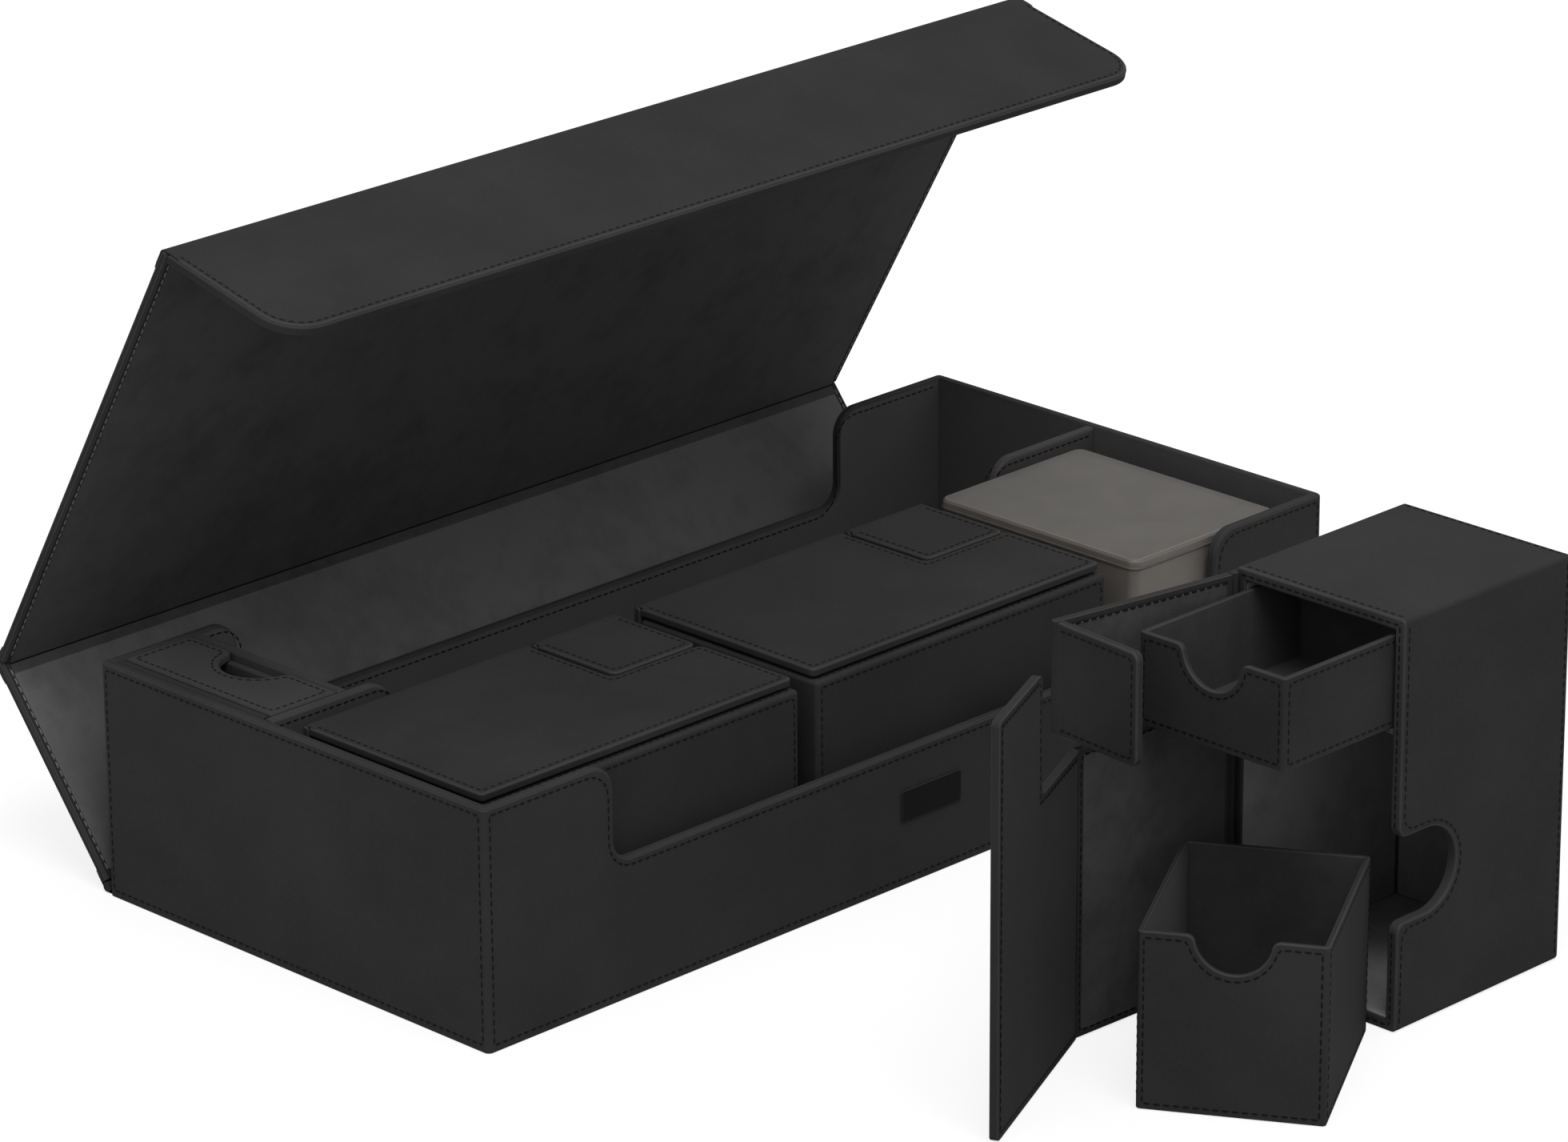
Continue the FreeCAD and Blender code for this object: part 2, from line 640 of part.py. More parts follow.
def deck_case(name, place, angles, out, tray, lined):
    """Make one deck case; all its lengths are the same in the three cases."""
    shell(f"{name}_shell", place)
    block(f"{name}_shelf", place,
          ("drawer_inset", "case_wall", "shelf_under"),
          ("case_reach - case_wall", "case_depth - case_wall",
           "shelf_under + shelf_thick"))
    strip = body(f"{name}_strip", place)
    pad(strip, circle(strip, "XY_Plane", f"-{FOLD}", HINGE, LEAF_HALF, "leaf_foot"),
        "small_top - leaf_foot")
    pad(strip, box_outline(strip, "XY_Plane", (f"-{FOLD}", "case_depth - strip_thick"),
                           ("0", "case_depth"), "leaf_foot"),
        "small_top - leaf_foot")
    side = f"((case_depth - {DRAWER_WIDTH}) / 2)"
    drawer = place.multiply(Placement(
        Vector(val("drawer_inset") - out, val(side),
               val("shelf_under + shelf_thick + play")), turned(0)))
    open_tray(f"{name}_drawer", drawer, "drawer_length", DRAWER_WIDTH,
              "drawer_height", "drawer_notch")
    open_tray(f"{name}_tray", tray, "tray_length", TRAY_WIDTH, "tray_height",
              "tray_notch")
    if lined:
        block(f"{name}_lining", place,
              ("drawer_inset", "case_wall + play", "case_wall"),
              ("case_reach - case_wall - play", "case_depth - case_wall - play",
               "case_wall + case_lining"))
    reach = f"({HINGE} + {FOLD})"
    hinge = Vector(-val(FOLD), val(HINGE), 0)
    length = val(reach)
    leaves = (
        ("door", hinge, angles[0], reach, "leaf_foot", "door_top", True, False),
        ("wrap", hinge + along(angles[0]) * length, angles[1], "wrap_length",
         "leaf_foot", "small_top", False, True),
        ("small_door", hinge, angles[2], reach, "small_foot", "small_top",
         True, False),
        ("tab", hinge + along(angles[2]) * length, angles[3], "tab_length",
         "small_foot", "small_top", False, False),
    )
    for kind, at, angle, long, foot, head, nose, step in leaves:
        corner = "tab_corner" if kind == "tab" else "leaf_corner"
        made = leaf(f"{name}_{kind}", leaf_place(place, at.x, at.y, angle),
                    long, foot, head, nose, step, corner)
        if lined and kind != "tab":
            leaf_lining(made, f"{name}_{kind}_lining", long, foot, head, step)


def stored(place_along):
    """Lay a closed case in the box, its foot to the left, its door to the back."""
    turn = Rotation(Vector(0, -1, 0), Vector(0, 0, -1), Vector(1, 0, 0), "XYZ")
    at = spot(f"-{HALF} + {place_along}",
              f"-{BACK} + deck_back - leaf_thick - leaf_gap",
              f"{PAD_TOP} + case_depth")
    return Placement(at, turn)


def deck_cases():
    closed = (-90.0, 0.0, -90.0, 0.0)
    inside = Placement(spot("play * 5", f"(case_depth - {TRAY_WIDTH}) / 2",
                            "case_wall"), turned(0))
    for name, place in (("deck_a", stored("deck_a_along")),
                        ("deck_b", stored(DECK_B_ALONG))):
        deck_case(name, place, closed, 0.0, place.multiply(inside), False)
    opened = [val(name) for name in ("door_angle", "wrap_angle", "small_angle",
                                     "tab_angle")]
    tray = Placement(spot("tray_along", "-tray_ahead", "0"),
                     turned(val("tray_turn")))
    deck_case("open", Placement(spot("case_along", "-case_ahead", "0"), turned(0)),
              opened, val("drawer_out"), tray, True)


def clear_box():
    """Make the clear box, whose lid slips over the narrower top of the base."""
    place = Placement(spot(f"{CLEAR_ALONG} - {HALF}", f"-{BACK} + clear_ahead",
                           PAD_TOP), turned(0))
    base = body("clear_base", place)
    full = (("0", "0"), (CLEAR_LENGTH, "clear_depth"))
    pad(base, box_outline(base, "XY_Plane", *full), "clear_split")
    soften(base, "clear_corner", lambda m, e: upright(e))
    step = "(clear_wall + play * 2)"
    neck = f"(clear_corner - {step})"
    top = "(clear_height - clear_wall - play)"
    pad(base, rounded(base, step, step, f"{CLEAR_LENGTH} - {step}",
                      f"clear_depth - {step}", neck, "clear_split - 1"),
        f"{top} - clear_split + 1")
    inner = f"({step} + clear_wall)"
    pocket(base, rounded(base, inner, inner, f"{CLEAR_LENGTH} - {inner}",
                         f"clear_depth - {inner}", f"({neck} - clear_wall)", top),
           f"{top} - clear_wall")
    lid = body("clear_lid", place)
    foot = "(clear_split + play)"
    pad(lid, box_outline(lid, "XY_Plane", *full, foot), f"clear_height - {foot}")
    soften(lid, "clear_corner", lambda m, e: upright(e))
    high = val("clear_height")
    bevel(lid, "rim_bevel", lambda m, e: near(m.z, high)
           and near(e.BoundBox.ZLength, 0))
    pocket(lid, rounded(lid, "clear_wall", "clear_wall", f"{CLEAR_LENGTH} - clear_wall",
                        "clear_depth - clear_wall", "(clear_corner - clear_wall)",
                        foot),
           f"clear_height - {foot} - clear_wall", True)


def rounded(owner, x0, y0, x1, y1, bend, lift):
    """Draw a rectangle with four round corners on the XY plane of a body."""
    x0, y0, x1, y1 = (f"({item})" for item in (x0, y0, x1, y1))
    left, right = f"({x0} + {bend})", f"({x1} - {bend})"
    low, high = f"({y0} + {bend})", f"({y1} - {bend})"
    return outline(owner, "XY_Plane", [
        (left, y0, left, low, 1), (right, y0),
        (x1, low, right, low, 1), (x1, high),
        (right, y1, right, high, 1), (left, y1),
        (x0, high, left, high, 1), (x0, low)], lift)


large_box()
lid()
deck_cases()
clear_box()
doc.recompute()

for item in doc.Objects:
    if "Invalid" in item.State or "Error" in item.State:
        raise ValueError(f"{item.Label}: {item.State}")
for made in bodies:
    if made.Shape.isNull() or not made.Shape.isValid():
        raise ValueError(f"{made.Label}: the shape is not sound")
    if len(made.Shape.Solids) != 1:
        raise ValueError(f"{made.Label}: {len(made.Shape.Solids)} solids")
    made.Shape.exportStep(f"parts/{made.Label}.step")
print(len(bodies), "pieces written")
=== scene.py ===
"""Leather covered card storage box with its stored cases and one open deck case.

Sizes are in millimetres and angles in degrees where nothing else is said.
"""
import logging
import math
from collections.abc import Callable
from dataclasses import dataclass, field
from enum import Enum

import bmesh
import bpy
from mathutils import Matrix, Vector


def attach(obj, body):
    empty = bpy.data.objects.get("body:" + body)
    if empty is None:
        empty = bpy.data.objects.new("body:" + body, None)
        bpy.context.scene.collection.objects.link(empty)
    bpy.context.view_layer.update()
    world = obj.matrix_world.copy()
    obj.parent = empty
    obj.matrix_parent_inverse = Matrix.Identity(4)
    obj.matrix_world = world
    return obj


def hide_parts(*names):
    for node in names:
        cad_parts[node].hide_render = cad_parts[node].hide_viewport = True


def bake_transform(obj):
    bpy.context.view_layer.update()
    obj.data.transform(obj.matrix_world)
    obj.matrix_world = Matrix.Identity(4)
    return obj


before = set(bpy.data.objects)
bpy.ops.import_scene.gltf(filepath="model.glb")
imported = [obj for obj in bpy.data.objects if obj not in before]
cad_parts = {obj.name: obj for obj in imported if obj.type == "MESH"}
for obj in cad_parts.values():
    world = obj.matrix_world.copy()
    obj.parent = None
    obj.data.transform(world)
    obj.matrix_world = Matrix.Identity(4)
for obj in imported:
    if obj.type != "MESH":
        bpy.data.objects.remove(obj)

LOG = logging.getLogger("card_storage_box")
MM = 0.001
RIGHT, BACK, UP = Vector((1, 0, 0)), Vector((0, 1, 0)), Vector((0, 0, 1))
# Material slots of a wrapped copy: outer faces, lined faces, and rounded faces painted
# lighter as a highlight.
OUTER, INNER, HIGHLIGHTED = 0, 1, 2
Point = tuple[float, float]
Path = list[tuple[Vector, Vector]]
Colour = tuple[float, float, float]
Test = Callable[[Vector], bool]


def grey(level: int, warm: float = 0.0) -> Colour:
    """Give a linear grey from an 8 bit display level, slightly warm or cool.

    Args:
        level: display level, 0 to 255.
        warm: small number added to red and taken from blue.

    Returns:
        The linear colour.
    """
    value = level / 255
    linear = value / 12.92 if value <= 0.04045 else ((value + 0.055) / 1.055) ** 2.4
    return (linear * (1 + warm), linear, linear * (1 - warm))


class Nodes:
    """Short way to wire a material's node tree."""

    def __init__(self, name: str) -> None:
        """Start a material with an empty tree.

        Args:
            name: the material's name.
        """
        self.material = bpy.data.materials.new(name)
        self.material.use_nodes = True
        self.tree = self.material.node_tree
        self.tree.nodes.clear()
        self.output = self.tree.nodes.new("ShaderNodeOutputMaterial")
        self.coordinates = self.tree.nodes.new("ShaderNodeTexCoord")

    def add(self, kind: str, **values: object) -> bpy.types.Node:
        """Add a node and set sockets or properties by name.

        Args:
            kind: the node's class name without its prefix.
            **values: a socket or property name with underscores for spaces, and
                either a plain value or another node's output socket.

        Returns:
            The new node.
        """
        node = self.tree.nodes.new("ShaderNode" + kind)
        for name, value in values.items():
            title = name.replace("_", " ")
            socket = node.inputs.get(title) or node.inputs.get(title.title())
            if isinstance(value, bpy.types.NodeSocket):
                self.tree.links.new(value, socket)
            elif socket is not None and not hasattr(node, name):
                socket.default_value = value
            else:
                setattr(node, name, value)
        return node

    def ramp(self, source: bpy.types.NodeSocket, low: Colour, high: Colour,
             start: float = 0.35, stop: float = 0.65) -> bpy.types.NodeSocket:
        """Turn a value into a colour between two colours.

        Args:
            source: the value.
            low: colour at and below start.
            high: colour at and above stop.
            start: value where the change begins.
            stop: value where the change ends.

        Returns:
            The colour socket.
        """
        node = self.add("ValToRGB", Fac=source)
        first, last = node.color_ramp.elements
        first.position, last.position = start, stop
        first.color, last.color = (*low, 1), (*high, 1)
        return node.outputs["Color"]

    def noise(self, size: float, detail: float = 3.0, rough: float = 0.55,
              stretch: tuple[float, float, float] = (1, 1, 1)) -> bpy.types.NodeSocket:
        """Add a noise pattern whose blotches are about size millimetres wide.

        Args:
            size: blotch width in millimetres.
            detail: octaves of the noise.
            rough: weight of the finer octaves.
            stretch: scale of the coordinates along each axis.

        Returns:
            The value socket, 0 to 1.
        """
        place = self.add("Mapping", Vector=self.coordinates.outputs["Object"],
                         Scale=stretch)
        return self.add("TexNoise", Vector=place.outputs["Vector"],
                        Scale=1 / (size * MM), Detail=detail,
                        Roughness=rough).outputs["Fac"]

    def cells(self, size: float) -> bpy.types.NodeSocket:
        """Add rounded cells for pebbled grain.

        Args:
            size: width of a cell in millimetres.

        Returns:
            The value socket, the distance to the nearest cell.
        """
        return self.add("TexVoronoi", Vector=self.coordinates.outputs["Object"],
                        feature="SMOOTH_F1", Scale=1 / (size * MM),
                        Smoothness=0.6).outputs["Distance"]

    def add_share(self, value: bpy.types.NodeSocket, share: float,
                  base: bpy.types.NodeSocket) -> bpy.types.NodeSocket:
        """Add a share of one value to another.

        Args:
            value: the value of which a share is added.
            share: that share.
            base: the value to which it is added.

        Returns:
            The value socket of the sum.
        """
        node = self.add("Math", operation="MULTIPLY_ADD")
        self.tree.links.new(value, node.inputs[0])
        node.inputs[1].default_value = share
        self.tree.links.new(base, node.inputs[2])
        return node.outputs[0]

    def bump(self, height: bpy.types.NodeSocket, depth: float, strength: float,
             below: bpy.types.NodeSocket | None = None) -> bpy.types.NodeSocket:
        """Add a bump, on top of an earlier one if given.

        Args:
            height: the value that lifts the surface.
            depth: height of the bump in millimetres.
            strength: how much of the bump shows, 0 to 1.
            below: normal of the earlier bump.

        Returns:
            The normal socket.
        """
        node = self.add("Bump", Height=height, Distance=depth * MM,
                        Strength=strength)
        if below is not None:
            self.tree.links.new(below, node.inputs["Normal"])
        return node.outputs["Normal"]

    def finish(self, **values: object) -> bpy.types.Material:
        """Add the surface shader with its sockets.

        Args:
            **values: the shader's sockets, named as for add.

        Returns:
            The finished material.
        """
        shader = self.add("BsdfPrincipled", **values)
        self.tree.links.new(shader.outputs["BSDF"], self.output.inputs["Surface"])
        return self.material


@dataclass(frozen=True)
class Leatherette:
    """Coated cloth with a fine pebbled grain and a low sheen."""

    name: str
    level: int
    grain: float = 0.75
    depth: float = 0.06
    roughness: float = 0.7
    shine: float = 0.06
    spread: tuple[int, int] = (4, 5)
    wear: tuple[float, float] = (0.05, 0.07)

    def material(self) -> bpy.types.Material:
        """Make the material.

        Returns:
            The leatherette material.
        """
        n = Nodes(self.name)
        cloud = n.noise(size=38, detail=4)
        fine = n.noise(size=self.grain * 1.6, detail=2)
        mixed = n.add_share(fine, share=0.45, base=cloud)
        colour = n.ramp(mixed, low=grey(self.level - self.spread[0]),
                        high=grey(self.level + self.spread[1]), start=0.4, stop=1.0)
        rough = n.add("MapRange", Value=cloud, To_Min=self.roughness - self.wear[0],
                      To_Max=self.roughness + self.wear[1])
        swell = n.bump(n.noise(size=24, detail=2), depth=0.5, strength=0.10)
        pebbles = n.bump(n.cells(self.grain), self.depth, strength=0.55, below=swell)
        normal = n.bump(n.noise(size=self.grain * 0.4, detail=2),
                        depth=self.depth * 0.5, strength=0.3, below=pebbles)
        return n.finish(Base_Color=colour, Roughness=rough.outputs["Result"],
                        Normal=normal, Specular_IOR_Level=self.shine)


@dataclass(frozen=True)
class Suede:
    """Soft napped lining, mottled where the nap lies differently."""

    name: str
    level: int
    mottle: int
    sheen: float = 0.05

    def material(self) -> bpy.types.Material:
        """Make the material.

        Returns:
            The suede material.
        """
        n = Nodes(self.name)
        broad = n.noise(size=30, detail=5, rough=0.62)
        brushed = n.noise(size=7, detail=4, rough=0.6, stretch=(1.0, 0.85, 0.9))
        nap = n.noise(size=0.7, detail=2)
        soft = n.add_share(brushed, share=0.6, base=broad)
        mixed = n.add_share(nap, share=0.25, base=soft)
        colour = n.ramp(mixed, low=grey(self.level - self.mottle),
                        high=grey(self.level + self.mottle), start=0.68, stop=1.18)
        strokes = n.bump(brushed, depth=0.25, strength=0.15)
        normal = n.bump(n.noise(size=0.5, detail=3), depth=0.18, strength=0.6,
                        below=strokes)
        return n.finish(Base_Color=colour, Roughness=0.95, Normal=normal,
                        Sheen_Weight=self.sheen, Sheen_Roughness=0.5,
                        Specular_IOR_Level=0.15)


@dataclass(frozen=True)
class Thread:
    """Twisted sewing thread."""

    name: str
    level: int
    spread: tuple[int, int] = (5, 6)

    def material(self) -> bpy.types.Material:
        """Make the material.

        Returns:
            The thread material.
        """
        n = Nodes(self.name)
        colour = n.ramp(n.noise(size=0.5, detail=2),
                        low=grey(self.level - self.spread[0]),
                        high=grey(self.level + self.spread[1]))
        twist = n.bump(n.noise(size=0.25, detail=1), depth=0.05, strength=0.5)
        return n.finish(Base_Color=colour, Roughness=0.8, Specular_IOR_Level=0.2,
                        Normal=twist)


@dataclass(frozen=True)
class Frosted:
    """Frosted clear plastic, milky and a little warm."""

    name: str
    level: int
    warm: float = 0.09
    spread: int = 4

    def material(self) -> bpy.types.Material:
        """Make the material.

        Returns:
            The plastic material.
        """
        n = Nodes(self.name)
        colour = n.ramp(n.noise(size=20, detail=3),
                        low=grey(self.level - self.spread, self.warm),
                        high=grey(self.level + self.spread, self.warm))
        frost = n.bump(n.noise(size=0.4, detail=2), depth=0.03, strength=0.3)
        return n.finish(Base_Color=colour, Roughness=0.45, IOR=1.49,
                        Transmission_Weight=0.35, Alpha=0.8, Normal=frost)


@dataclass(frozen=True)
class Plate:
    """Plated steel of the hidden magnets."""

    name: str
    level: int

    def material(self) -> bpy.types.Material:
        """Make the material.

        Returns:
            The steel material.
        """
        n = Nodes(self.name)
        rough = n.add("MapRange", Value=n.noise(size=2, detail=3), To_Min=0.25,
                      To_Max=0.4)
        worn = n.bump(n.noise(size=0.6, detail=2), depth=0.02, strength=0.3)
        return n.finish(Base_Color=(*grey(self.level), 1), Metallic=1.0,
                        Roughness=rough.outputs["Result"], Normal=worn)


class Finish(Enum):
    """The finishes of the set."""

    COVER = Leatherette("cover_leatherette", level=49)
    # Lighter, shinier copy of the cover for rounded edges and board ends: a painted
    # highlight.
    EDGE_HIGHLIGHT = Leatherette("edge_highlight_leatherette", level=58, grain=0.6, depth=0.04,
                       roughness=0.5, shine=0.12)
    # Lighter copy of the cover for the box's walls: painted light against the shade that
    # the cases cast on it.
    BOX_PAINTED_LIGHT = Leatherette("box_leatherette_painted_light", level=53)
    # Lighter copy of the cover for the pieces inside the box: painted light against the
    # shade inside it.
    INNER_PAINTED_LIGHT = Leatherette("inner_leatherette_painted_light", level=64, grain=0.7, depth=0.05,
                        roughness=0.75)
    # Still lighter copy for the faces of the walls inside the box: painted light against
    # the shade there.
    WALL_PAINTED_LIGHT = Leatherette("wall_leatherette_painted_light", level=80, grain=0.7, depth=0.05,
                             roughness=0.75)
    PATCH = Leatherette("label_leather", level=25, grain=0.5, depth=0.02,
                        roughness=0.5)
    SUEDE = Suede("lid_suede", level=67, mottle=6)
    # Lighter copy of the lid's suede for the spine: painted light against the shade of
    # the lid over it.
    SPINE_SUEDE_PAINTED_LIGHT = Suede("spine_suede_painted_light", level=98, mottle=6)
    PALE_SUEDE = Suede("door_suede", level=66, mottle=7)
    # Darker copy of the door's suede for the wrap's inner side: painted shade.
    WRAP_SUEDE_PAINTED_SHADE = Suede("wrap_suede_painted_shade", level=25, mottle=3)
    # Light suede inside the cases, made lighter still as painted light against the shade
    # inside them.
    ROOM_SUEDE_PAINTED_LIGHT = Suede("room_suede_painted_light", level=136, mottle=8)
    TRAY_SUEDE = Suede("tray_suede", level=58, mottle=4)
    FLOOR_SUEDE = Suede("floor_suede", level=72, mottle=7)
    DARK_THREAD = Thread("dark_thread", level=11)
    PALE_THREAD = Thread("pale_thread", level=128)
    # One frosted plastic in two copies: darker for the lid's top and beads, painted
    # shade; lighter for the base and the lid's sides, painted light.
    FROSTED_PAINTED_SHADE = Frosted("frosted_plastic_painted_shade", level=105)
    FROSTED_PAINTED_LIGHT = Frosted("frosted_plastic_painted_light", level=138)
    STEEL = Plate("plated_steel", level=170)


# Finish of the rounded faces of each finish: a painted highlight, and painted light on
# the clear lid's sides.
EDGES = {Finish.COVER: Finish.EDGE_HIGHLIGHT, Finish.BOX_PAINTED_LIGHT: Finish.EDGE_HIGHLIGHT, Finish.INNER_PAINTED_LIGHT: Finish.EDGE_HIGHLIGHT,
         Finish.PATCH: Finish.EDGE_HIGHLIGHT, Finish.FROSTED_PAINTED_SHADE: Finish.FROSTED_PAINTED_LIGHT}


class Wardrobe:
    """Makes each material once and hands it out."""

    made: dict[Finish, bpy.types.Material] = {}

    @classmethod
    def get(cls, finish: Finish) -> bpy.types.Material:
        """Give the material of a finish, and make it on the first call.

        Args:
            finish: the finish.

        Returns:
            Its material.
        """
        if finish not in cls.made:
            cls.made[finish] = finish.value.material()
        return cls.made[finish]


SLOTS = {finish: "suede" for finish in Finish if isinstance(finish.value, Suede)}
SLOTS.update({Finish.FROSTED_PAINTED_SHADE: "clear_plastic", Finish.FROSTED_PAINTED_LIGHT: "clear_plastic",
              Finish.STEEL: "magnet", Finish.PATCH: "label"})


def add_piece(name: str, mesh: bpy.types.Mesh, finish: Finish) -> bpy.types.Object:
    """Link a mesh into the scene with its material.

    Args:
        name: the piece's name.
        mesh: its mesh.
        finish: its finish.

    Returns:
        The new object.
    """
    piece = bpy.data.objects.new(name, mesh)
    bpy.context.scene.collection.objects.link(piece)
    mesh.materials.clear()
    mesh.materials.append(Wardrobe.get(finish))
    SLOTS.get(finish, "leather")
    return piece


def extent(node: str) -> tuple[Vector, Vector]:
    """Give the low and high corner of a solid.

    Args:
        node: the solid's name.

    Returns:
        Both corners in millimetres.
    """
    points = [v.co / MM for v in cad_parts[node].data.vertices]
    return (Vector([min(p[k] for p in points) for k in range(3)]),
            Vector([max(p[k] for p in points) for k in range(3)]))


def eased_copy(node: str, finish: Finish, ease: float, body: str, steps: int = 3,
               angle: float = 28.0, inside: Test | None = None,
               lining: Finish | None = None, band: Test | None = None,
               weld: float = 0.002, flat: float = 1.0) -> bpy.types.Object:
    """Stand in for a solid with a copy whose edges are rounded like wrapped board and,
    for most finishes, painted lighter there as a highlight.

    Args:
        node: the solid's name.
        finish: the finish of the copy.
        ease: radius of the rounding in millimetres.
        body: the body that the copy rides on.
        steps: facets across each rounding.
        angle: edges sharper than this many degrees are rounded.
        inside: tells whether a point in millimetres is on a lined face.
        lining: the finish of the lined faces.
        band: tells whether a point is on a face, such as a board's end, that takes the
            lighter finish of the rounded faces, painted light.
        weld: corners nearer than this many millimetres become one.
        flat: faces that meet at less than this many degrees become one.

    Returns:
        The new object.
    """
    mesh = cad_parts[node].data.copy()
    mesh.name = node + "_wrapped"
    work = bmesh.new()
    work.from_mesh(mesh)
    bmesh.ops.remove_doubles(work, verts=work.verts[:], dist=weld * MM)
    bmesh.ops.dissolve_limit(work, angle_limit=math.radians(flat),
                             verts=work.verts[:], edges=work.edges[:])
    sharp = [edge for edge in work.edges if len(edge.link_faces) == 2
             and edge.calc_face_angle(0) > math.radians(angle)]
    rounded = bmesh.ops.bevel(
        work, geom=sharp, offset=ease * MM, offset_type="OFFSET", segments=steps,
        profile=0.5, affect="EDGES", clamp_overlap=True, miter_outer="SHARP")
    for face in rounded["faces"]:
        face.material_index = HIGHLIGHTED
    work.to_mesh(mesh)
    work.free()
    flatten_normals(mesh)
    shown = [HIGHLIGHTED if face.material_index == HIGHLIGHTED else OUTER
             for face in mesh.polygons]
    if inside is not None:
        shown = [INNER if kind == OUTER and inside(face.center / MM) else kind
                 for kind, face in zip(shown, mesh.polygons)]
    if band is not None:
        shown = [HIGHLIGHTED if band(face.center / MM) else kind
                 for kind, face in zip(shown, mesh.polygons)]
    piece = add_piece(node + "_wrapped", mesh, finish)
    mesh.materials.append(Wardrobe.get(lining or finish))
    mesh.materials.append(Wardrobe.get(EDGES.get(finish, finish)))
    mesh.polygons.foreach_set("material_index", shown)
    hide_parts(node)
    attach(piece, body)
    LOG.info("%s: wrapped copy with %d faces", node, len(mesh.polygons))
    return piece


def flatten_normals(mesh: bpy.types.Mesh, angle: float = 50.0) -> None:
    """Weight corner normals by face size, so that big faces stay flat in the light.

    Args:
        mesh: the mesh to shade.
        angle: faces that meet at less than this many degrees share a normal.
    """
    mesh.polygons.foreach_set("use_smooth", [True] * len(mesh.polygons))
    around: list[list[int]] = [[] for _ in mesh.vertices]
    for face in mesh.polygons:
        for corner in face.vertices:
            around[corner].append(face.index)
    sizes = [face.area for face in mesh.polygons]
    normals = [face.normal.copy() for face in mesh.polygons]
    least = math.cos(math.radians(angle))
    corners = []
    for face in mesh.polygons:
        own = normals[face.index]
        for corner in face.vertices:
            total = Vector()
            for other in around[corner]:
                if normals[other].dot(own) > least:
                    total += normals[other] * sizes[other]
            corners.append(total.normalized() if total.length else own)
    mesh.normals_split_custom_set(corners)


def join_rings(work: bmesh.types.BMesh, rings: list[list[bmesh.types.BMVert]],
               closed: bool = False) -> None:
    """Join rings of corners with faces.

    Args:
        work: the mesh being built.
        rings: the rings, all with the same number of corners.
        closed: whether the last ring joins the first; if not, both ends get a face.
    """
    following = rings[1:] + rings[:1] if closed else rings[1:]
    for first, second in zip(rings, following):
        count = len(first)
        for k in range(count):
            work.faces.new((first[k], first[(k + 1) % count],
                            second[(k + 1) % count], second[k]))
    if not closed:
        work.faces.new(rings[0][::-1])
        work.faces.new(rings[-1])


def smooth_mesh(name: str, work: bmesh.types.BMesh, angle: float) -> bpy.types.Mesh:
    """Make a mesh that is smooth except across its sharp edges.

    Args:
        name: the mesh's name.
        work: its faces, which are freed.
        angle: edges sharper than this many degrees stay sharp.

    Returns:
        The new mesh.
    """
    mesh = bpy.data.meshes.new(name)
    work.to_mesh(mesh)
    work.free()
    mesh.polygons.foreach_set("use_smooth", [True] * len(mesh.polygons))
    mesh.set_sharp_from_angle(angle=math.radians(angle))
    mesh.update()
    return mesh


def dress(node: str, finish: Finish) -> None:
    """Give a solid that stays as it is a finer material.

    Args:
        node: the solid's name.
        finish: its finish.
    """
    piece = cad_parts[node]
    piece.data.materials.clear()
    piece.data.materials.append(Wardrobe.get(finish))
    SLOTS.get(finish, "leather")


@dataclass
class Seam:
    """A row of stitches lying on a surface.

    The ends of a stitch are thinner by the share in slim, and sink is the swelling
    at which its middle line lies in the surface.
    """

    length: float = 2.3
    gap: float = 0.9
    width: float = 0.62
    rise: float = 0.22
    flat: float = 0.6
    slim: float = 0.55
    sink: float = 0.55
    bow: tuple[float, float] = (0.12, 0.76)
    ring: int = 5
    along: int = 4

    def sew(self, work: bmesh.types.BMesh, path: list[Vector], normal: Vector,
            closed: bool = False) -> int:
        """Add the stitches of one path to a mesh.

        Args:
            work: the mesh being built.
            path: corner points of the row, in metres.
            normal: the surface's outward direction.
            closed: whether the row comes back to its start.

        Returns:
            How many stitches were added.
        """
        points = path + [path[0]] if closed else path
        lengths = [(b - a).length for a, b in zip(points, points[1:])]
        total = sum(lengths)
        pitch = (self.length + self.gap) * MM
        count = max(1, round(total / pitch))
        pitch = total / count
        stitch = pitch * self.length / (self.length + self.gap)
        for index in range(count):
            start = self.at(points, lengths, index * pitch + (pitch - stitch) / 2)
            stop = self.at(points, lengths, index * pitch + (pitch + stitch) / 2)
            self.stitch(work, start, stop, normal)
        return count

    @staticmethod
    def at(points: list[Vector], lengths: list[float], where: float) -> Vector:
        """Give the point at a distance along a path.

        Args:
            points: corner points of the path.
            lengths: length of each of its parts, in metres.
            where: distance from the path's start, in metres.

        Returns:
            The point.
        """
        for index, length in enumerate(lengths):
            if where <= length or index == len(lengths) - 1:
                part = min(1.0, where / length) if length else 0.0
                return points[index].lerp(points[index + 1], part)
            where -= length
        return points[-1]

    def stitch(self, work: bmesh.types.BMesh, start: Vector, stop: Vector,
               normal: Vector) -> None:
        """Add one stitch: a thin arched sausage that dips in at both ends.

        Args:
            work: the mesh being built.
            start: where the stitch comes up, in metres.
            stop: where it goes down, in metres.
            normal: the surface's outward direction.
        """
        forward = (stop - start).normalized()
        side = forward.cross(normal).normalized()
        rings = []
        for step in range(self.along + 1):
            part = step / self.along
            swell = math.sin(math.pi * (self.bow[0] + self.bow[1] * part))
            middle = start.lerp(stop, part) + normal * (
                self.rise * MM * (swell - self.sink))
            radius = self.width * MM / 2 * (1 - self.slim + self.slim * swell)
            rings.append([work.verts.new(
                middle + side * (radius * math.cos(turn))
                + normal * (radius * self.flat * math.sin(turn)))
                for turn in (2 * math.pi * k / self.ring for k in range(self.ring))])
        join_rings(work, rings)


